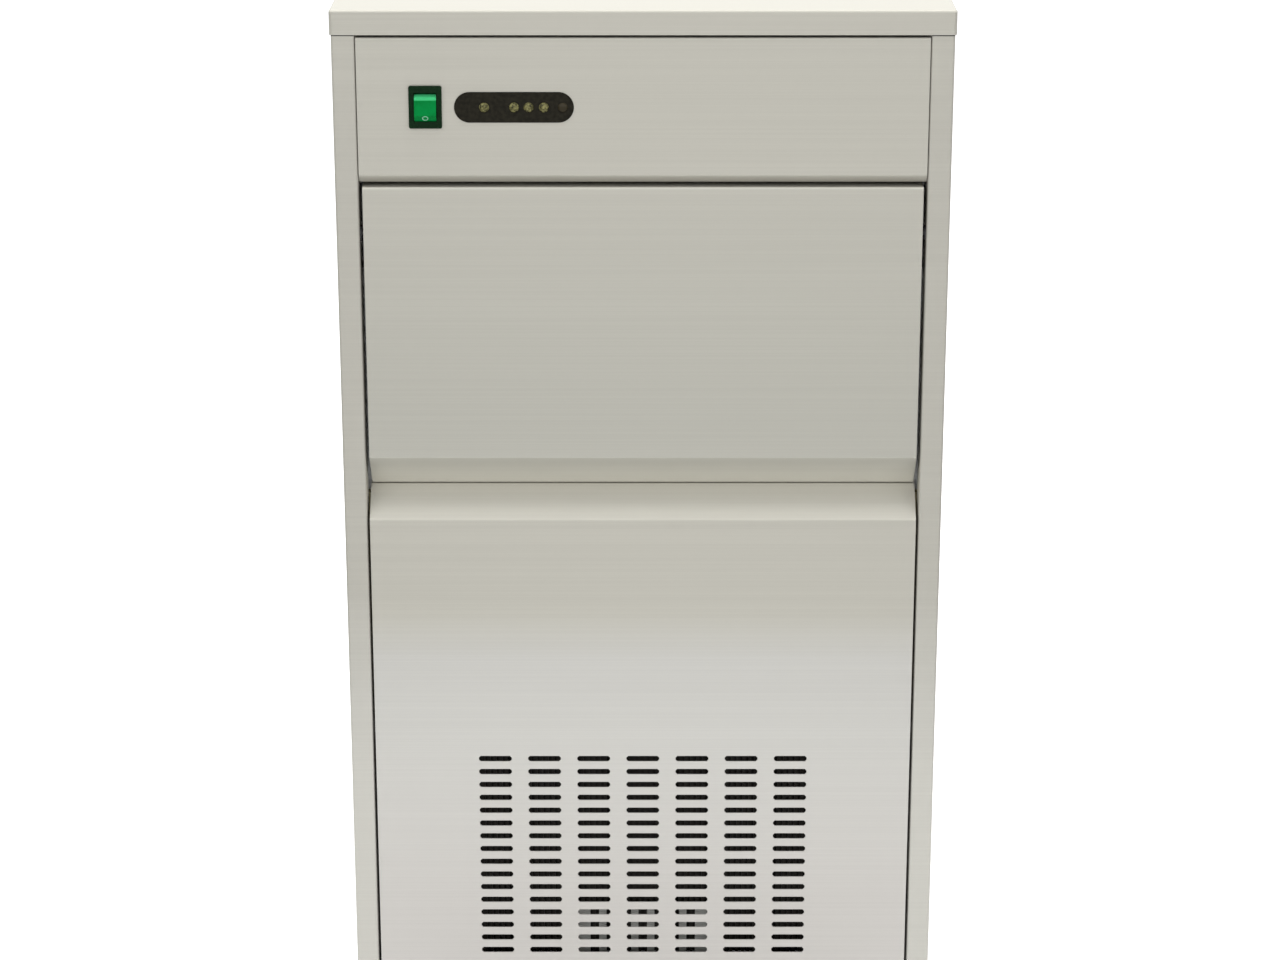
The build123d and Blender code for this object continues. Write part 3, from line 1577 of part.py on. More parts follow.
# Compressor: a domed can with a weld seam, on a foot plate with four rubber mounts
plate_z = tray_floor + mount_height
compressor_low = tray_floor + compressor_base_gap
mount_places = [
    (compressor_x + i * mount_spread_x / 2, compressor_depth + j * mount_spread_y / 2)
    for i in (-1, 1)
    for j in (-1, 1)
]
discharge_z = tray_floor + discharge_above_floor
suction_z = tray_floor + suction_above_floor
suction_offset = outlet_x - compressor_x
with BuildPart() as compressor:
    with BuildSketch(upright_plane(compressor_x, compressor_depth)) as can:
        with BuildLine():
            Polyline(
                (0, compressor_low),
                (compressor_radius, compressor_low),
                (compressor_radius, compressor_low + compressor_height),
                (0, compressor_low + compressor_height),
                close=True,
            )
        make_face()
        fillet(can.vertices().group_by(Axis.X)[-1].sort_by(Axis.Y)[0], compressor_floor_round)
        fillet(can.vertices().sort_by(Axis.Y)[-1], compressor_top_round)
    revolve(axis=Axis(place(compressor_x, compressor_depth, 0), (0, 0, 1)))
    round_bar(
        level_plane(compressor_low + compressor_seam_share * compressor_height),
        (compressor_x, compressor_depth), compressor_radius + compressor_seam,
        compressor_seam_height,
    )
    with BuildSketch(level_plane(plate_z)):
        with Locations((compressor_x, compressor_depth)):
            RectangleRounded(foot_plate_width, foot_plate_depth, radius=mount_radius)
        with Locations(mount_places):
            Circle(mount_neck_radius + press, mode=Mode.SUBTRACT)
    extrude(amount=foot_plate_wall)
    relay_front = compressor_depth - compressor_radius - relay_box[1] / 2
    block(
        (compressor_x - relay_box[0] / 2, compressor_x + relay_box[0] / 2),
        (relay_front, compressor_depth),
        (compressor_low + relay_box_above, compressor_low + relay_box_above + relay_box[2]),
    )
    round_bar(
        side_plane(compressor_x), (compressor_depth, discharge_z), discharge_radius,
        -(compressor_radius + discharge_stub),
    )
    round_bar(
        front_plane(compressor_depth), (compressor_x + suction_offset, suction_z), suction_radius,
        -(compressor_radius + suction_stub / 2),
    )
keep("compressor", compressor)

with BuildPart() as compressor_mounts:
    mount_z = tray_floor
    for radius, height in (
        (mount_radius, mount_height),
        (mount_neck_radius, foot_plate_wall),
        (mount_cap_radius, mount_cap_height),
    ):
        with BuildSketch(level_plane(mount_z)) as mount_ring:
            with Locations(mount_places):
                Circle(radius)
        extrude(mount_ring.sketch, amount=height)
        mount_z = mount_z + height
keep("compressor_mounts", compressor_mounts)

# Refrigerant pipes
suction_start = compressor_depth + compressor_radius + suction_stub / 2
suction_line = bent_tube(
    [
        place(outlet_x, tube_end, outlet_z),
        place(outlet_x, riser_depth + suction_radius, outlet_z),
        place(outlet_x, riser_depth + suction_radius, suction_z),
        place(outlet_x, suction_start, suction_z),
    ],
    suction_radius,
    liquid_bend,
)
keep("suction_line", suction_line)

discharge_end = -(condenser_half + 2 * header_radius + header_stub_length)
discharge_pipe = bent_tube(
    [
        place(compressor_x - compressor_radius - discharge_stub, compressor_depth, discharge_z),
        place(discharge_x, compressor_depth, discharge_z),
        place(discharge_x, condenser_middle, discharge_z),
        place(discharge_x, condenser_middle, condenser_high - header_stub_inset),
        place(discharge_end, condenser_middle, condenser_high - header_stub_inset),
    ],
    discharge_radius,
    pipe_bend,
)
keep("discharge_pipe", discharge_pipe)

drier_low = tray_floor + drier_above_floor
drier_high = drier_low + drier_length
with BuildPart() as filter_drier:
    with BuildSketch(upright_plane(inlet_x, drier_depth)):
        with BuildLine():
            Polyline(
                (0, drier_low),
                (liquid_radius, drier_low),
                (drier_radius, drier_low + drier_taper),
                (drier_radius, drier_high - drier_taper),
                (liquid_radius, drier_high),
                (0, drier_high),
                close=True,
            )
        make_face()
    revolve(axis=Axis(place(inlet_x, drier_depth, 0), (0, 0, 1)))
keep("filter_drier", filter_drier)

liquid_start = condenser_half + 2 * header_radius + header_stub_length
condenser_outlet_z = condenser_low + header_stub_inset
condenser_run = bent_tube(
    [
        place(liquid_start, condenser_middle, condenser_outlet_z),
        place(liquid_x, condenser_middle, condenser_outlet_z),
        place(liquid_x, drier_depth, condenser_outlet_z),
        place(inlet_x, drier_depth, condenser_outlet_z),
        place(inlet_x, drier_depth, drier_low),
    ],
    liquid_radius,
    liquid_bend,
)
evaporator_run = bent_tube(
    [
        place(inlet_x, drier_depth, drier_high),
        place(inlet_x, drier_depth, drier_high + liquid_crossing),
        place(inlet_x, riser_depth, drier_high + liquid_crossing),
        place(inlet_x, riser_depth, tube_z),
        place(inlet_x, tube_end, tube_z),
    ],
    liquid_radius,
    liquid_bend,
)
with BuildPart() as liquid_line:
    add(condenser_run.part)
    add(evaporator_run.part)
keep("liquid_line", liquid_line)

# Water inlet valve: body and coil inside the back panel, thread outside
valve_back = body_depth - sheet
with BuildPart() as water_inlet_valve:
    block(
        (inlet_valve_x - valve_width / 2, inlet_valve_x + valve_width / 2),
        (valve_back - valve_depth, valve_back),
        (inlet_valve_z - valve_height / 2, inlet_valve_z + valve_height / 2),
    )
    round_bar(
        front_plane(valve_back), (inlet_valve_x, inlet_valve_z), thread_radius,
        -(sheet + thread_reach),
    )
    round_bar(
        front_plane(body_depth), (inlet_valve_x, inlet_valve_z), thread_flange_radius,
        -thread_flange_wall,
    )
    round_bar(
        front_plane(body_depth + thread_reach + overrun), (inlet_valve_x, inlet_valve_z),
        thread_bore, thread_reach + overrun, mode=Mode.SUBTRACT,
    )
    round_bar(
        level_plane(inlet_valve_z - valve_height / 2),
        (inlet_valve_x, valve_back - valve_depth / 2), coil_radius, -coil_height,
    )
    round_bar(
        level_plane(inlet_valve_z + valve_height / 2), (inlet_valve_x, riser_depth), hose_radius,
        hose_stub,
    )
keep("water_inlet_valve", water_inlet_valve)

supply_hose = bent_tube(
    [
        place(inlet_valve_x, riser_depth, inlet_valve_z + valve_height / 2 + hose_stub),
        place(inlet_valve_x, riser_depth, hose_z),
        place(inlet_valve_x, reservoir_back - hose_overhang, hose_z),
    ],
    hose_radius,
    hose_bend,
)
keep("supply_hose", supply_hose)

# Drain pipe: from the bin's floor down and out through the back, where a collar on the pipe
# covers the panel's hole and stops the hose
drain_run = bent_tube(
    [
        place(drain_x, drain_depth, bin_floor),
        place(drain_x, drain_depth, drain_z),
        place(drain_x, body_depth + drain_reach, drain_z),
    ],
    drain_radius,
    drain_bend,
    bore=drain_radius - drain_wall,
)
with BuildPart() as drain_pipe:
    add(drain_run.part)
    with BuildSketch(front_plane(body_depth + drain_collar_wall)) as collar_ring:
        with Locations((drain_x, drain_z)):
            Circle(drain_collar_radius)
            Circle(drain_radius - drain_wall / 2, mode=Mode.SUBTRACT)
    extrude(collar_ring.sketch, amount=drain_collar_wall)
keep("drain_pipe", drain_pipe)

# Cable gland in the back panel, without a cable
with BuildPart() as cable_gland:
    gland_place = (gland_x, gland_z)
    round_bar(front_plane(body_depth), gland_place, gland_flange_radius, -gland_flange_wall)
    round_bar(
        front_plane(body_depth), gland_place, gland_dome_radius,
        -(gland_flange_wall + gland_dome_length),
    )
    fillet(cable_gland.edges().group_by(Axis.Y)[-1], radius=gland_bore)
    round_bar(front_plane(body_depth), gland_place, gland_radius, gland_tail)
    round_bar(front_plane(valve_back), gland_place, gland_flange_radius, gland_nut_wall)
    round_bar(
        front_plane(body_depth + gland_flange_wall + gland_dome_length + overrun), gland_place,
        gland_bore, gland_flange_wall + gland_dome_length + gland_tail + 2 * overrun,
        mode=Mode.SUBTRACT,
    )
keep("cable_gland", cable_gland)
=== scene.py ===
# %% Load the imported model
import math

import bpy
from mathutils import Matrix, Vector


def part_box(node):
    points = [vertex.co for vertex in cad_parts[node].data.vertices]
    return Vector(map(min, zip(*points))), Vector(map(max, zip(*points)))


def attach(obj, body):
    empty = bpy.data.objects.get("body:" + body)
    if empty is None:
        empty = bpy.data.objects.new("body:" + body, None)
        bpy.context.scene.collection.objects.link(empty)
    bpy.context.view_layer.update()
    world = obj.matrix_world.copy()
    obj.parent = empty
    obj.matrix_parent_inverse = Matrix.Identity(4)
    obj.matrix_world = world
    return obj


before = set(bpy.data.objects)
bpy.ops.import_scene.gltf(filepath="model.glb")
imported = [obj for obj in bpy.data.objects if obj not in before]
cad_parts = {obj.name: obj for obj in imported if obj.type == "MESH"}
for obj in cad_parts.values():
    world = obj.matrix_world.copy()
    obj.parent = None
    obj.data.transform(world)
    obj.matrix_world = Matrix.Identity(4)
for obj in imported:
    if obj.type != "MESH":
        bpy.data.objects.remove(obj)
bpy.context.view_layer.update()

# %% [markdown]
# The machine's solids are already there, in metres, so this script gives them their finish, adds
# the small things that are too fine for the solids, and lights and frames the picture. A helper
# that reads a part's box keeps every added piece tied to the solid that carries it, which is
# safer than typing its place in again.

# %% Places on the solids


def middle(node):
    """The middle of a solid's box."""
    low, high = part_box(node)
    return (Vector(low) + Vector(high)) / 2


mm = 0.001
body_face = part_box("lower_front_panel")[0][1]

# %% [markdown]
# The photograph looks a little down on the machine from a long way off, so its sides lean in only
# slightly. The lens and the height were found from the widths of the body in the picture. The
# camera is placed by numbers rather than by eye, so that every later render can be laid over the
# photograph.

# %% Camera
photo_lens = 93.18
camera_back = 2.614
camera_above = 0.467
camera_aside = -0.0024
camera_pitch = math.radians(18.2)
lip_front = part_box("top_panel")[0][1]
lip_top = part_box("top_panel")[1][2]
camera_data = bpy.data.cameras.new("camera")
camera_data.lens = photo_lens
camera_data.sensor_width = 36.0
camera_data.sensor_fit = "HORIZONTAL"
camera = bpy.data.objects.new("camera", camera_data)
bpy.context.scene.collection.objects.link(camera)
camera.location = (camera_aside, lip_front - camera_back, lip_top + camera_above)
camera.rotation_euler = (math.pi / 2 - camera_pitch, 0, 0)
bpy.context.scene.camera = camera
print("camera at", [round(v, 3) for v in camera.location])

# %% [markdown]
# The studio is one soft sky and four large lamps. Steel has almost no colour of its own: what it
# shows is the room. So the sky is white to the camera and to mirrors, and dimmer as a lamp, which
# keeps the shadows without making the panels glare. The lamps only give light: as bright squares
# in a mirror they would glare in the sloped ledge, the top panel and the lower panel.

# %% Sky
sky_as_lamp = 0.55
sky_in_mirrors = 1.0
sky_to_camera = 1.0
bpy.context.scene.view_settings.view_transform = "Standard"
sky = bpy.data.worlds.new("studio_sky")
bpy.context.scene.world = sky
sky.use_nodes = True
sky_nodes = sky.node_tree.nodes
sky_links = sky.node_tree.links
sky_nodes.clear()
sky_out = sky_nodes.new("ShaderNodeOutputWorld")
sky_light = sky_nodes.new("ShaderNodeBackground")
sky_seen = sky_nodes.new("ShaderNodeBackground")
sky_mirrored = sky_nodes.new("ShaderNodeBackground")
for sky_shader, strength in (
    (sky_light, sky_as_lamp), (sky_seen, sky_to_camera), (sky_mirrored, sky_in_mirrors),
):
    sky_shader.inputs["Color"].default_value = (1, 1, 1, 1)
    sky_shader.inputs["Strength"].default_value = strength
sky_path = sky_nodes.new("ShaderNodeLightPath")
sky_mirror_mix = sky_nodes.new("ShaderNodeMixShader")
sky_seen_mix = sky_nodes.new("ShaderNodeMixShader")
sky_links.new(sky_path.outputs["Is Glossy Ray"], sky_mirror_mix.inputs["Fac"])
sky_links.new(sky_light.outputs["Background"], sky_mirror_mix.inputs[1])
sky_links.new(sky_mirrored.outputs["Background"], sky_mirror_mix.inputs[2])
sky_links.new(sky_path.outputs["Is Camera Ray"], sky_seen_mix.inputs["Fac"])
sky_links.new(sky_mirror_mix.outputs["Shader"], sky_seen_mix.inputs[1])
sky_links.new(sky_seen.outputs["Background"], sky_seen_mix.inputs[2])
sky_links.new(sky_seen_mix.outputs["Shader"], sky_out.inputs["Surface"])
print("sky strengths", sky_as_lamp, sky_in_mirrors, sky_to_camera)

# %% Lamps


def soft_lamp(name, place, aim, size, power):
    """A square lamp at a place, turned towards a point."""
    data = bpy.data.lights.new(name, "AREA")
    data.shape = "SQUARE"
    data.size = size
    data.energy = power
    lamp = bpy.data.objects.new(name, data)
    bpy.context.scene.collection.objects.link(lamp)
    lamp.location = place
    lamp.rotation_euler = (Vector(aim) - Vector(place)).to_track_quat("-Z", "Y").to_euler()
    lamp.visible_glossy = False


body_middle = (0, 0, 0.5)
soft_lamp("front_left_lamp", place=(-2.2, -2.6, 2.6), aim=body_middle, size=2.0, power=30)
soft_lamp("front_right_lamp", place=(2.4, -2.2, 2.4), aim=body_middle, size=2.0, power=22)
soft_lamp("overhead_lamp", place=(0.0, 0.2, 3.4), aim=body_middle, size=2.6, power=122)
soft_lamp("low_front_lamp", place=(0.0, -2.4, 0.35), aim=(0, 0, 0.7), size=1.4, power=20)
print("lamps", 4)

# %% [markdown]
# The floor is a large pale sheet. It is palest close to the machine and dimmer farther out, as a
# lit table in a larger room is, and that is why the lower panel in the photograph is the brighter
# one. The camera itself sees the sheet even, with a little glow that lifts it to white and leaves
# the shadow under the machine.

# %% Floor
floor_width = 30
fade_reach = 4.0
glow_strength = 0.7
# painted light: a pool of light on the floor, pale near the machine and dimmer farther out, seen
# only in reflections and bounced light
light_pool_at = ((0.21, 0.80), (0.31, 0.26), (0.46, 0.16), (0.62, 0.54))
floor_to_camera = (0.8, 0.8, 0.8, 1)
bpy.ops.object.select_all(action="DESELECT")
bpy.ops.mesh.primitive_plane_add(size=floor_width, location=(0, 0, 0))
floor = bpy.context.object
floor.name = "floor"
floor_finish = bpy.data.materials.new("floor_finish")
floor_finish.use_nodes = True
floor_nodes = floor_finish.node_tree.nodes
floor_links = floor_finish.node_tree.links
floor_nodes.clear()
floor_out = floor_nodes.new("ShaderNodeOutputMaterial")
floor_matt = floor_nodes.new("ShaderNodeBsdfDiffuse")
floor_place = floor_nodes.new("ShaderNodeTexCoord")
floor_distance = floor_nodes.new("ShaderNodeVectorMath")
floor_distance.operation = "LENGTH"
floor_share = floor_nodes.new("ShaderNodeMath")
floor_share.operation = "DIVIDE"
floor_share.inputs[1].default_value = fade_reach
floor_tone = floor_nodes.new("ShaderNodeValToRGB")
floor_rings = floor_tone.color_ramp.elements
floor_rings[0].position = light_pool_at[0][0]
floor_rings[1].position = light_pool_at[-1][0]
for stop, _ in light_pool_at[1:-1]:
    floor_rings.new(stop)
for ring, (_, paleness) in zip(floor_rings, light_pool_at):
    ring.color = (paleness, paleness, paleness, 1)
floor_links.new(floor_place.outputs["Object"], floor_distance.inputs[0])
floor_links.new(floor_distance.outputs["Value"], floor_share.inputs[0])
floor_links.new(floor_share.outputs[0], floor_tone.inputs["Fac"])
floor_seen = floor_nodes.new("ShaderNodeMix")
floor_seen.data_type = "RGBA"
floor_seen.inputs["B"].default_value = floor_to_camera
floor_links.new(floor_tone.outputs["Color"], floor_seen.inputs["A"])
floor_links.new(floor_seen.outputs["Result"], floor_matt.inputs["Color"])
floor_glow = floor_nodes.new("ShaderNodeEmission")
floor_glow.inputs["Color"].default_value = (1, 1, 1, 1)
floor_path = floor_nodes.new("ShaderNodeLightPath")
floor_rays = floor_nodes.new("ShaderNodeMath")
floor_rays.operation = "MAXIMUM"
floor_strength = floor_nodes.new("ShaderNodeMath")
floor_strength.operation = "MULTIPLY"
floor_strength.inputs[1].default_value = glow_strength
floor_sum = floor_nodes.new("ShaderNodeAddShader")
floor_links.new(floor_path.outputs["Is Camera Ray"], floor_rays.inputs[0])
floor_links.new(floor_path.outputs["Is Camera Ray"], floor_seen.inputs["Factor"])
floor_links.new(floor_path.outputs["Is Transmission Ray"], floor_rays.inputs[1])
floor_links.new(floor_rays.outputs[0], floor_strength.inputs[0])
floor_links.new(floor_strength.outputs[0], floor_glow.inputs["Strength"])
floor_links.new(floor_matt.outputs[0], floor_sum.inputs[0])
floor_links.new(floor_glow.outputs[0], floor_sum.inputs[1])
floor_links.new(floor_sum.outputs[0], floor_out.inputs["Surface"])
floor.data.materials.append(floor_finish)
print("floor size", tuple(floor.dimensions))

# %% [markdown]
# Every finish here is one shader with a quiet pattern in it: a noise that moves the colour a
# little between two tones, changes the gloss, and raises a bump too small to measure. Real
# surfaces are never even, and without this the panels look like paper. One helper builds them
# all, because the finishes differ only in their colours, their gloss and the size and direction
# of the pattern.

# %% Finishes


def finish(name, tones, metallic, gloss, grain, bump, detail=4.0, shine=0.5):
    """A finish with two tones, a range of roughness and a grain (repeats per metre on x, y, z)."""
    material = bpy.data.materials.new(name)
    material.use_nodes = True
    nodes = material.node_tree.nodes
    links = material.node_tree.links
    shader = nodes["Principled BSDF"]
    shader.inputs["Metallic"].default_value = metallic
    shader.inputs["Specular IOR Level"].default_value = shine
    place = nodes.new("ShaderNodeTexCoord")
    stretch = nodes.new("ShaderNodeMapping")
    stretch.inputs["Scale"].default_value = grain
    noise = nodes.new("ShaderNodeTexNoise")
    noise.inputs["Scale"].default_value = 1.0
    noise.inputs["Detail"].default_value = detail
    links.new(place.outputs["Object"], stretch.inputs["Vector"])
    links.new(stretch.outputs["Vector"], noise.inputs["Vector"])
    tone = nodes.new("ShaderNodeValToRGB")
    tone.color_ramp.elements[0].position = 0.35
    tone.color_ramp.elements[1].position = 0.65
    tone.color_ramp.elements[0].color = (*tones[0], 1)
    tone.color_ramp.elements[1].color = (*tones[1], 1)
    links.new(noise.outputs["Fac"], tone.inputs["Fac"])
    links.new(tone.outputs["Color"], shader.inputs["Base Color"])
    rough = nodes.new("ShaderNodeMapRange")
    rough.inputs["From Min"].default_value = 0.3
    rough.inputs["From Max"].default_value = 0.7
    rough.inputs["To Min"].default_value = gloss[0]
    rough.inputs["To Max"].default_value = gloss[1]
    links.new(noise.outputs["Fac"], rough.inputs["Value"])
    links.new(rough.outputs["Result"], shader.inputs["Roughness"])
    raise_up = nodes.new("ShaderNodeBump")
    raise_up.inputs["Strength"].default_value = bump
    raise_up.inputs["Distance"].default_value = 0.1 * mm
    links.new(noise.outputs["Fac"], raise_up.inputs["Height"])
    links.new(raise_up.outputs["Normal"], shader.inputs["Normal"])
    return material


steel_tones = ((0.524, 0.510, 0.452), (0.548, 0.534, 0.473))
finishes = {
    "panel_steel": finish("panel_steel", steel_tones, 0.5, (0.32, 0.42), (2, 2, 900), 0.10),
    # the door, lower, side and top steels are copies that carry painted light and shade by height,
    # further down
    "door_steel": finish("door_steel", steel_tones, 0.5, (0.32, 0.42), (2, 2, 900), 0.10),
    "lower_steel": finish("lower_steel", steel_tones, 0.5, (0.32, 0.42), (2, 2, 900), 0.10),
    "side_steel": finish("side_steel", steel_tones, 0.5, (0.32, 0.42), (2, 2, 900), 0.10),
    "top_steel": finish("top_steel", steel_tones, 0.5, (0.32, 0.42), (3, 900, 900), 0.10),
    "zinc_sheet": finish(
        "zinc_sheet", ((0.44, 0.45, 0.46), (0.52, 0.53, 0.54)), 0.8, (0.35, 0.5), (90, 90, 90), 0.05
    ),
    "bright_steel": finish(
        "bright_steel", ((0.60, 0.60, 0.60), (0.68, 0.68, 0.68)), 1.0, (0.2, 0.35),
        (300, 300, 300), 0.1,
    ),
    "dark_pin": finish(
        "dark_pin", ((0.05, 0.05, 0.05), (0.08, 0.08, 0.08)), 0.8, (0.35, 0.5), (300, 300, 300), 0.1
    ),
    "white_liner": finish(
        "white_liner", ((0.72, 0.73, 0.72), (0.78, 0.79, 0.78)), 0.0, (0.35, 0.5),
        (400, 400, 400), 0.2,
    ),
    "black_moulding": finish(
        "black_moulding", ((0.018, 0.018, 0.02), (0.03, 0.03, 0.032)), 0.0, (0.35, 0.5),
        (900, 900, 900), 0.3,
    ),
    "grey_moulding": finish(
        "grey_moulding", ((0.20, 0.21, 0.22), (0.26, 0.27, 0.28)), 0.0, (0.4, 0.55),
        (700, 700, 700), 0.3,
    ),
    "green_rocker": finish(
        "green_rocker", ((0.0008, 0.165, 0.033), (0.0012, 0.205, 0.042)), 0.0, (0.25, 0.4),
        (200, 200, 200), 0.02, shine=0.03,
    ),
    "dark_window": finish(
        "dark_window", ((0.010, 0.009, 0.006), (0.018, 0.016, 0.010)), 0.0, (0.12, 0.22),
        (300, 300, 300), 0.02, shine=0.15,
    ),
    # the lens tones lie far apart: the pale spots of the pattern are painted highlights on the
    # clear domes
    "lamp_lens": finish(
        "lamp_lens", ((0.016, 0.015, 0.005), (0.22, 0.205, 0.08)), 0.0, (0.08, 0.2),
        (560, 560, 560), 0.02, shine=0.25,
    ),
    "pale_print": finish(
        "pale_print", ((0.20, 0.46, 0.31), (0.26, 0.54, 0.37)), 0.0, (0.4, 0.55),
        (500, 500, 500), 0.02, shine=0.1,
    ),
    # near-black moulding; the green in its tones is a painted reflection of the green rocker
    "switch_rim": finish(
        "switch_rim", ((0.003, 0.014, 0.005), (0.007, 0.024, 0.009)), 0.0, (0.4, 0.55),
        (900, 900, 900), 0.2, shine=0.06,
    ),
    "pale_zinc": finish(
        "pale_zinc", ((0.50, 0.50, 0.47), (0.60, 0.60, 0.57)), 0.2, (0.4, 0.6), (60, 60, 60), 0.05
    ),
    "circuit_green": finish(
        "circuit_green", ((0.01, 0.10, 0.04), (0.02, 0.16, 0.07)), 0.0, (0.3, 0.5),
        (250, 250, 250), 0.1,
    ),
    "cream_foam": finish(
        "cream_foam", ((0.55, 0.47, 0.26), (0.68, 0.60, 0.36)), 0.0, (0.8, 0.95),
        (150, 150, 150), 0.6,
    ),
    "grey_seal": finish(
        "grey_seal", ((0.16, 0.16, 0.17), (0.21, 0.21, 0.22)), 0.0, (0.6, 0.75),
        (600, 600, 600), 0.3,
    ),
    # black rubber for the compressor mounts; the same black is painted shade in the lip gap and in
    # the screw recesses
    "black_rubber_and_shade": finish(
        "black_rubber_and_shade", ((0.012, 0.012, 0.012), (0.022, 0.022, 0.022)), 0.0, (0.65, 0.85),
        (600, 600, 600), 0.4,
    ),
    "copper_pipe": finish(
        "copper_pipe", ((0.65, 0.32, 0.19), (0.74, 0.38, 0.23)), 1.0, (0.26, 0.38),
        (90, 90, 90), 0.05,
    ),
    "tinned_finger": finish(
        "tinned_finger", ((0.60, 0.58, 0.53), (0.70, 0.68, 0.63)), 1.0, (0.18, 0.32),
        (250, 250, 250), 0.1,
    ),
    "brass_piece": finish(
        "brass_piece", ((0.60, 0.45, 0.18), (0.72, 0.56, 0.25)), 1.0, (0.25, 0.4),
        (200, 200, 200), 0.1,
    ),
    "black_fins": finish(
        "black_fins", ((0.014, 0.011, 0.008), (0.028, 0.024, 0.018)), 0.0, (0.5, 0.7),
        (600, 30, 30), 0.2,
    ),
    "compressor_enamel": finish(
        "compressor_enamel", ((0.012, 0.012, 0.013), (0.016, 0.016, 0.018)), 0.0, (0.24, 0.30),
        (700, 700, 700), 0.15,
    ),
    "motor_metal": finish(
        "motor_metal", ((0.34, 0.34, 0.34), (0.42, 0.42, 0.42)), 0.9, (0.35, 0.5),
        (250, 250, 250), 0.2,
    ),
    "clear_hose": finish(
        "clear_hose", ((0.60, 0.66, 0.70), (0.70, 0.75, 0.79)), 0.0, (0.25, 0.4),
        (200, 200, 200), 0.1,
    ),
}
print("finishes", len(finishes))

# %% [markdown]
# One of the five lamps is a dark one. All five are one piece, so the finish itself changes from
# amber to brown at a place between the last two lamps. It could also be a second finish on chosen
# faces, but then the solid's own mesh would have to be touched.

# %% The dark lamp
between_last_lamps = 31 * mm
dark_from_x = middle("indicator_window").x + between_last_lamps
lens_nodes = finishes["lamp_lens"].node_tree.nodes
lens_links = finishes["lamp_lens"].node_tree.links
lens_shader = lens_nodes["Principled BSDF"]
amber = lens_shader.inputs["Base Color"].links[0].from_socket
lens_place = lens_nodes.new("ShaderNodeTexCoord")
lens_split = lens_nodes.new("ShaderNodeSeparateXYZ")
lens_side = lens_nodes.new("ShaderNodeMath")
lens_side.operation = "GREATER_THAN"
lens_side.inputs[1].default_value = dark_from_x
lens_tone = lens_nodes.new("ShaderNodeMix")
lens_tone.data_type = "RGBA"
lens_tone.inputs["B"].default_value = (0.030, 0.024, 0.012, 1)
lens_links.new(lens_place.outputs["Object"], lens_split.inputs["Vector"])
lens_links.new(lens_split.outputs["X"], lens_side.inputs[0])
lens_links.new(lens_side.outputs[0], lens_tone.inputs["Factor"])
lens_links.new(amber, lens_tone.inputs["A"])
lens_links.new(lens_tone.outputs["Result"], lens_shader.inputs["Base Color"])
print("dark from x", round(dark_from_x, 4))

# %% [markdown]
# Fingers open the door by the fold along its lower edge. That fold faces down, and it is painted
# brighter than the brushed face above it, as painted light from below; the face darkens a little
# downwards in painted shade. The top panel's level face is painted brighter than its front lip, as
# painted light from the lamp above. The lower panel, and more softly the side panels, show a paler
# and cooler part of the room just above the slots than higher up or near the floor: a painted
# reflection. A larger room with walls could be built round the machine for that, but then every
# other panel would change too. So these finishes multiply their tone by a tint of painted light and
# shade that comes in between two heights. The heights are read from the piece's own coordinates,
# so the door's bright strip moves with the door.

# %% Painted light and shade by height


def paint_light_and_shade_by_height(finish_name, plain_z, tinted_z, tint):
    """Multiply a finish's tone by a tint that grows from nothing at plain_z to full at tinted_z."""
    nodes = finishes[finish_name].node_tree.nodes
    links = finishes[finish_name].node_tree.links
    shader = nodes["Principled BSDF"]
    plain_tone = shader.inputs["Base Color"].links[0].from_socket
    place = nodes.new("ShaderNodeTexCoord")
    split = nodes.new("ShaderNodeSeparateXYZ")
    share = nodes.new("ShaderNodeMapRange")
    share.inputs["From Min"].default_value = plain_z
    share.inputs["From Max"].default_value = tinted_z
    full_tone = nodes.new("ShaderNodeVectorMath")
    full_tone.operation = "MULTIPLY"
    full_tone.inputs[1].default_value = tint
    mixed_tone = nodes.new("ShaderNodeMix")
    mixed_tone.data_type = "RGBA"
    links.new(place.outputs["Object"], split.inputs["Vector"])
    links.new(split.outputs["Z"], share.inputs["Value"])
    links.new(plain_tone, full_tone.inputs[0])
    links.new(share.outputs["Result"], mixed_tone.inputs["Factor"])
    links.new(plain_tone, mixed_tone.inputs["A"])
    links.new(full_tone.outputs["Vector"], mixed_tone.inputs["B"])
    links.new(mixed_tone.outputs["Result"], shader.inputs["Base Color"])


fold_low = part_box("door_skin")[0][2]
fold_top = fold_low + 24 * mm
above_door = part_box("door_skin")[1][2] + 45 * mm
above_fold = fold_top + 35 * mm
lip_edge = lip_top - 2 * mm
level_face = lip_top - 0.5 * mm
below_lip = lip_top - 100 * mm
near_floor = 144 * mm
# painted shade: the door face darkens a little downwards; painted light: the fold under it is
# brighter
paint_light_and_shade_by_height("door_steel", above_door, above_fold, tint=(0.92, 0.93, 0.935))
paint_light_and_shade_by_height("door_steel", fold_top, fold_low, tint=(1.46, 1.45, 1.45))
# painted light on the top panel's level face, from the lamp above
paint_light_and_shade_by_height("top_steel", lip_edge, level_face, tint=(1.10, 1.10, 1.10))
# painted reflection in the side panels: darker near the top and the floor, paler and cooler above
# the slots
paint_light_and_shade_by_height("side_steel", lip_top, below_lip, tint=(0.955, 0.955, 0.96))
paint_light_and_shade_by_height("side_steel", 440 * mm, 330 * mm, tint=(1.075, 1.085, 1.115))
paint_light_and_shade_by_height("side_steel", 270 * mm, near_floor, tint=(0.925, 0.925, 0.925))
# painted reflection in the lower panel: paler and cooler above the slots, darker near the floor
paint_light_and_shade_by_height("lower_steel", 408 * mm, 367 * mm, tint=(1.085, 1.10, 1.17))
paint_light_and_shade_by_height("lower_steel", 300 * mm, near_floor, tint=(0.896, 0.878, 0.882))
print("door fold at", round(fold_low, 4), "top at", round(lip_top, 4))

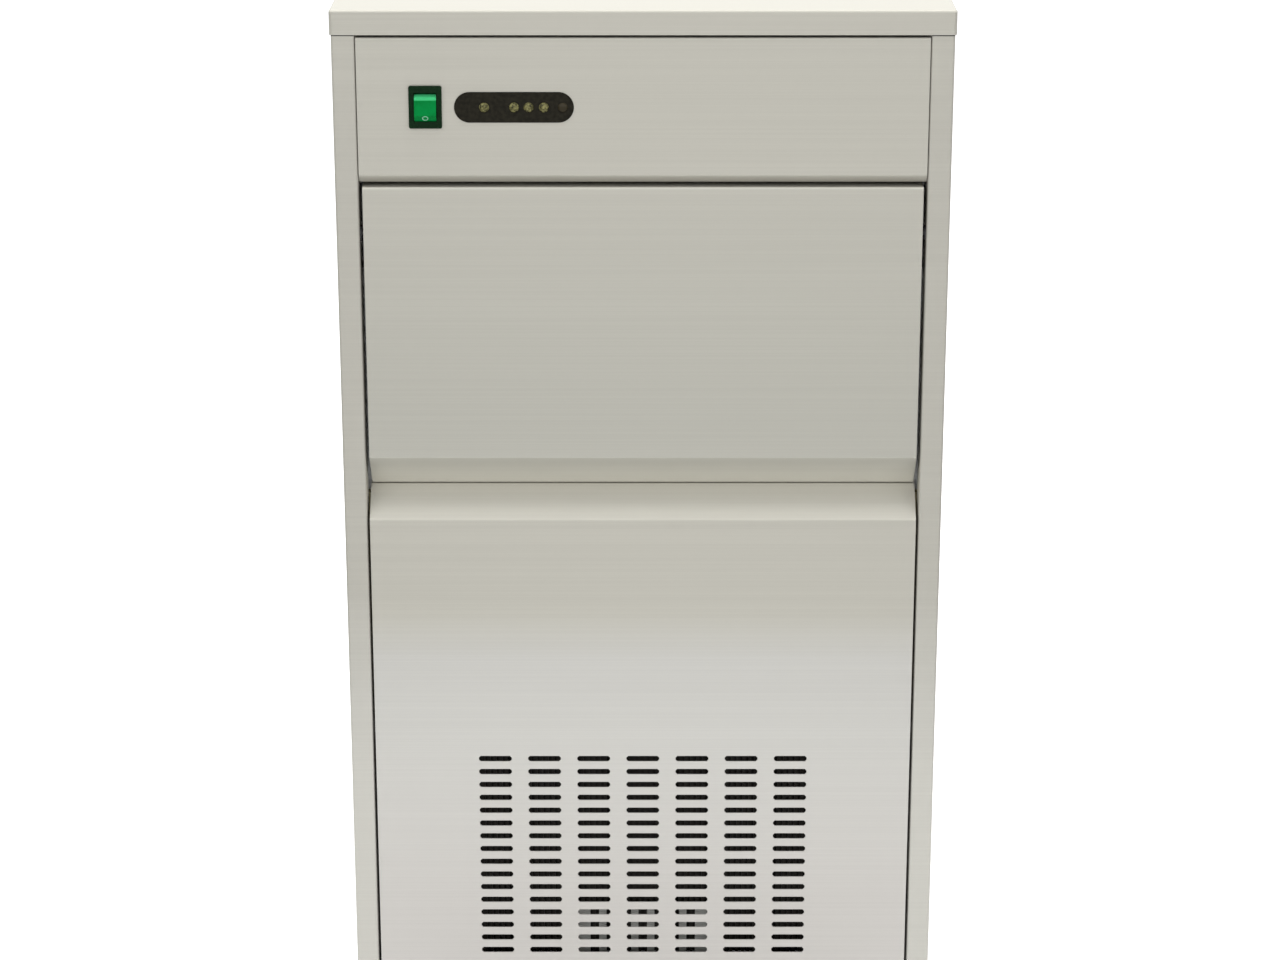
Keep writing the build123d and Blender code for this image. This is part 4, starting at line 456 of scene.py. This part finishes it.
# %% [markdown]
# The rocker is clear green plastic, and its upper slope gathers the light from above, so it is
# far paler than the face under it. A mirror-like gloss could show that too, but it would need the
# real room round the machine. So painted light and shade follow the height on the rocker: a painted
# shadow along the upper edge, the painted light of the pale slope, and the plain green below.

# %% The rocker's pale slope
rocker_reach = 12 * mm
slope_from, slope_full = 0.46, 0.51
edge_from, edge_full = 0.82, 0.88
# painted light on the upper slope and a painted shadow along the top edge
lit_slope_green = (0.05, 0.46, 0.17, 1)
shaded_edge_green = (0.001, 0.04, 0.010, 1)


def step_up(start, full):
    """A ramp that is 0 up to a share of the rocker's reach and 1 from another on."""
    ramp = rocker_nodes.new("ShaderNodeValToRGB")
    ramp.color_ramp.elements[0].position = start
    ramp.color_ramp.elements[0].color = (0, 0, 0, 1)
    ramp.color_ramp.elements[1].position = full
    ramp.color_ramp.elements[1].color = (1, 1, 1, 1)
    return ramp


rocker_middle = middle("switch_rocker").z
rocker_nodes = finishes["green_rocker"].node_tree.nodes
rocker_links = finishes["green_rocker"].node_tree.links
rocker_shader = rocker_nodes["Principled BSDF"]
plain_green = rocker_shader.inputs["Base Color"].links[0].from_socket
rocker_place = rocker_nodes.new("ShaderNodeTexCoord")
rocker_split = rocker_nodes.new("ShaderNodeSeparateXYZ")
rocker_height = rocker_nodes.new("ShaderNodeMapRange")
rocker_height.inputs["From Min"].default_value = rocker_middle
rocker_height.inputs["From Max"].default_value = rocker_middle + rocker_reach
slope_share = step_up(slope_from, slope_full)
edge_share = step_up(edge_from, edge_full)
slope_tone = rocker_nodes.new("ShaderNodeMix")
slope_tone.data_type = "RGBA"
slope_tone.inputs["B"].default_value = lit_slope_green
edge_tone = rocker_nodes.new("ShaderNodeMix")
edge_tone.data_type = "RGBA"
edge_tone.inputs["B"].default_value = shaded_edge_green
rocker_links.new(rocker_place.outputs["Object"], rocker_split.inputs["Vector"])
rocker_links.new(rocker_split.outputs["Z"], rocker_height.inputs["Value"])
rocker_links.new(rocker_height.outputs["Result"], slope_share.inputs["Fac"])
rocker_links.new(rocker_height.outputs["Result"], edge_share.inputs["Fac"])
rocker_links.new(slope_share.outputs["Color"], slope_tone.inputs["Factor"])
rocker_links.new(plain_green, slope_tone.inputs["A"])
rocker_links.new(edge_share.outputs["Color"], edge_tone.inputs["Factor"])
rocker_links.new(slope_tone.outputs["Result"], edge_tone.inputs["A"])
rocker_links.new(edge_tone.outputs["Result"], rocker_shader.inputs["Base Color"])
print("rocker middle", round(rocker_middle, 4))

# %% [markdown]
# A solid keeps its shape and only gets a better finish. The table below says which finish belongs
# to which piece, as a parts list would. The top panel has a finish of its own, because its
# brushed grain runs along x on a level face, while the panels that stand upright are brushed
# level, and because it carries painted light of its own. The door, the lower panel and the side
# panels each have a copy of the panel steel, which carries their painted light and shade.

# %% Finish of every solid
finish_of = {
    "panel_steel": ["control_panel"],
    "side_steel": ["left_side_panel", "right_side_panel"],
    "door_steel": ["door_skin"],
    "lower_steel": ["lower_front_panel"],
    "top_steel": ["top_panel"],
    "zinc_sheet": ["back_panel", "base_tray", "insulation_deck", "control_box", "mechanism_frame"],
    "pale_zinc": ["condenser_bracket"],
    "switch_rim": ["switch_body"],
    "bright_steel": ["back_panel_screws", "fan_shaft", "foot_lock_nuts"],
    "dark_pin": ["door_hinge_pins"],
    "white_liner": ["door_liner", "door_frame", "chamber_hood", "ice_bin", "ice_chute",
                    "water_reservoir", "float"],
    "black_moulding": ["door_hinge_bushes", "tray_bushes", "water_pump",
                       "water_inlet_valve", "cable_gland", "fan_blades", "fan_shroud",
                       "foot_front_left", "foot_front_right", "foot_rear_left", "foot_rear_right"],
    "grey_moulding": ["water_tray", "float_stem", "drain_pipe"],
    "green_rocker": ["switch_rocker"],
    "dark_window": ["indicator_window"],
    "lamp_lens": ["indicator_lamps"],
    "circuit_green": ["control_board"],
    "cream_foam": ["door_foam", "cabinet_foam"],
    "grey_seal": ["door_gasket"],
    "black_rubber_and_shade": ["compressor_mounts"],
    "copper_pipe": ["evaporator_tube", "ice_level_sensor", "filter_drier", "discharge_pipe",
                    "suction_line", "liquid_line"],
    "tinned_finger": ["freezing_fingers"],
    "brass_piece": ["tray_trunnions"],
    "black_fins": ["condenser"],
    "compressor_enamel": ["compressor"],
    "motor_metal": ["tilt_motor", "fan_motor"],
    "clear_hose": ["tray_fill_tube", "supply_hose"],
}
finished = 0
for finish_name, node_names in finish_of.items():
    for node_name in node_names:
        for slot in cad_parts[node_name].material_slots:
            slot.material = finishes[finish_name]
        finished += 1
print("solids finished", finished, "of", len(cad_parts))

# %% [markdown]
# The helpers below start a piece and end it. A new primitive must be the only thing selected, and
# its place has to end up in its mesh.

# %% Starting and ending a piece


def start_piece():
    """Nothing selected, so that an operator acts only on the new piece."""
    bpy.ops.object.select_all(action="DESELECT")


def end_piece(name, finish_name, body):
    """Name the active object, put its place in its mesh, and fasten it to a body."""
    piece = bpy.context.object
    bpy.ops.object.transform_apply(location=True, rotation=True, scale=True)
    piece.name = name
    piece.data.name = name
    piece.data.materials.clear()
    piece.data.materials.append(finishes[finish_name])
    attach(piece, body)
    return piece


def join_copies(name, places):
    """Copy the active object to the places and join the copies into one object."""
    first = bpy.context.object
    copies = []
    for place in places:
        copy = first.copy()
        copy.data = first.data.copy()
        copy.location = first.location + Vector(place)
        bpy.context.scene.collection.objects.link(copy)
        copies.append(copy)
    bpy.data.objects.remove(first, do_unlink=True)
    start_piece()
    for copy in copies:
        copy.select_set(True)
    bpy.context.view_layer.objects.active = copies[0]
    bpy.ops.object.join()
    bpy.context.object.name = name
    return bpy.context.object


print("helpers ready")

# %% [markdown]
# The indicator lamps are small clear domes. The solids are flat discs, so each one gets a cap:
# half a ball, squashed, with its lower half cut away in edit mode. One is modelled and copied to
# the others.

# %% Lamp domes
window_flange = 3 * mm
dome_share = 0.84
dome_squash = 0.32
lamp_low, lamp_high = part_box("indicator_lamps")
window_low, window_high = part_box("indicator_window")
lamp_half = (lamp_high[2] - lamp_low[2]) / 2
dome_foot = lamp_low[1] + 0.05 * mm
window_half = (window_high[0] - window_low[0]) / 2 - window_flange
window_x = middle("indicator_window").x
lamp_shares = (-0.25, 0.0, 0.122, 0.249, 0.408)
lamp_xs = [window_x + share * 2 * window_half for share in lamp_shares]
start_piece()
bpy.ops.mesh.primitive_uv_sphere_add(
    segments=24, ring_count=12, radius=lamp_half * dome_share,
    location=(0, dome_foot, middle("indicator_lamps").z),
)
bpy.context.object.scale = (1, dome_squash, 1)
bpy.ops.object.mode_set(mode="EDIT")
bpy.ops.mesh.bisect(
    plane_co=(0, dome_foot, 0), plane_no=(0, 1, 0), clear_outer=True, use_fill=True
)
bpy.ops.object.mode_set(mode="OBJECT")
bpy.ops.object.shade_smooth_by_angle(angle=math.radians(40))
join_copies("lamp_domes", [(x, 0, 0) for x in lamp_xs])
end_piece("lamp_domes", "lamp_lens", "cabinet")
print("lamp domes at", [round(x, 4) for x in lamp_xs])

# %% [markdown]
# The rocker carries a printed ring for off, as every switch of this kind does. It lies on the
# lower slope, which faces a little downwards, so the ring is made flat and then turned to that
# slope. It rides with the rocker when the rocker swings.

# %% Off mark on the rocker
mark_radius = 2.1 * mm
mark_line = 0.45 * mm
mark_flatness = 0.2
mark_behind_front = 1.44 * mm
mark_below_middle = 8.65 * mm
slope_turn = math.radians(33.5)
rocker_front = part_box("switch_rocker")[0][1]
mark_place = (
    middle("switch_rocker").x, rocker_front + mark_behind_front, rocker_middle - mark_below_middle
)
start_piece()
bpy.ops.mesh.primitive_torus_add(
    major_radius=mark_radius, minor_radius=mark_line, major_segments=32, minor_segments=8,
    location=mark_place, rotation=(math.pi / 2 + slope_turn, 0, 0),
)
bpy.context.object.scale = (1, 1, mark_flatness)
bpy.ops.object.shade_smooth_by_angle(angle=math.radians(60))
end_piece("off_mark", "pale_print", "rocker")
print("off mark at", [round(v, 4) for v in mark_place])

# %% [markdown]
# A thin dark line of painted shade lies where the top panel's lip meets the front of each side
# panel: on the machine that is a gap in shade, which the solids close by contact. It is too thin
# for the solids. Each line is a narrow round bar along x, half of it sunk in the corner under the
# lip.

# %% Painted shade lines under the lip
shade_line_radius = 0.55 * mm
shade_line_sink = 0.8 * shade_line_radius
panel_gap = 0.5 * mm
shade_line_end_gaps = 0.6 * mm
lip_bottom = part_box("top_panel")[0][2]
side_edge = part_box("left_side_panel")[0][0]
gap_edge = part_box("control_panel")[0][0] - panel_gap
shade_line_length = gap_edge - side_edge - shade_line_end_gaps
# painted shade: dark round bars where the gap under the lip is in shade
start_piece()
bpy.ops.mesh.primitive_cylinder_add(
    vertices=16, radius=shade_line_radius, depth=shade_line_length, rotation=(0, math.pi / 2, 0),
    location=(0, body_face, lip_bottom - shade_line_sink),
)
bpy.ops.object.shade_smooth_by_angle(angle=math.radians(40))
shade_line_x = (side_edge + gap_edge) / 2
join_copies("lip_shade_lines", [(shade_line_x, 0, 0), (-shade_line_x, 0, 0)])
end_piece("lip_shade_lines", "black_rubber_and_shade", "cabinet")
print("bead length", round(shade_line_length, 4), "at x", round(shade_line_x, 4))

# %% [markdown]
# Threads are too fine for the solids. A row of thin rings round a stud or a spigot looks the same
# as a cut thread from any distance at which the whole machine is seen, and has far fewer faces.

# %% Thread rings


def thread_rings(name, centre, axis, radius, ridge, pitch, count, finish_name, body):
    """Thin rings round an axis, starting at a centre."""
    turn = (math.pi / 2, 0, 0) if axis == "Y" else (0, 0, 0)
    start_piece()
    bpy.ops.mesh.primitive_torus_add(
        major_radius=radius - ridge, minor_radius=ridge, major_segments=32, minor_segments=6,
        location=centre, rotation=turn,
    )
    step = Vector((0, pitch, 0)) if axis == "Y" else Vector((0, 0, pitch))
    join_copies(name, [step * i for i in range(count)])
    bpy.ops.object.shade_smooth_by_angle(angle=math.radians(50))
    return end_piece(name, finish_name, body)


inlet_x = 0.19
inlet_z = 0.23
inlet_thread_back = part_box("water_inlet_valve")[1][1] - 2 * mm
thread_rings(
    "inlet_thread", (inlet_x, inlet_thread_back, inlet_z), axis="Y", radius=13.3 * mm,
    ridge=0.7 * mm, pitch=-1.8 * mm, count=11,
    finish_name="black_moulding", body="cabinet",
)
foot_thread_low = 19 * mm
for corner in ("front_left", "front_right", "rear_left", "rear_right"):
    foot = middle(f"foot_{corner}")
    thread_rings(
        f"foot_thread_{corner}", (foot.x, foot.y, foot_thread_low), axis="Z", radius=5.04 * mm,
        ridge=0.45 * mm, pitch=1.5 * mm, count=17,
        finish_name="bright_steel", body=f"foot_{corner}",
    )
print("thread rings on", 5, "pieces")

# %% [markdown]
# The back panel's screws have crossed recesses. Each is two thin dark bars let into the head, dark
# as painted shade in the recess, which read as a recess at this size.

# %% Screw recesses
screw_x = 241.3 * mm
screw_lowest = 90 * mm
screw_pitch = 790 * mm / 3
screw_zs = [screw_lowest + i * screw_pitch for i in range(4)]
recess_size = (4.6 * mm, 0.6 * mm, 0.9 * mm)
recess_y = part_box("back_panel_screws")[1][1] - 0.25 * mm
# painted shade: dark bars for the shaded cross recess in each screw head
start_piece()
bpy.ops.mesh.primitive_cube_add(size=1, location=(0, recess_y, 0))
level_bar = bpy.context.object
level_bar.scale = recess_size
bpy.ops.object.transform_apply(location=False, rotation=False, scale=True)
bpy.ops.object.duplicate()
bpy.context.object.rotation_euler = (0, math.pi / 2, 0)
level_bar.select_set(True)
bpy.ops.object.join()
bpy.ops.object.transform_apply(location=False, rotation=True, scale=False)
bpy.ops.object.mode_set(mode="EDIT")
bpy.ops.mesh.select_all(action="SELECT")
bpy.ops.mesh.bevel(offset=0.1 * mm, segments=1, affect="EDGES")
bpy.ops.object.mode_set(mode="OBJECT")
recess_places = [(side * screw_x, 0, z) for side in (-1, 1) for z in screw_zs]
join_copies("screw_recesses", recess_places)
end_piece("screw_recesses", "black_rubber_and_shade", "cabinet")
print("screw recesses", len(recess_places))
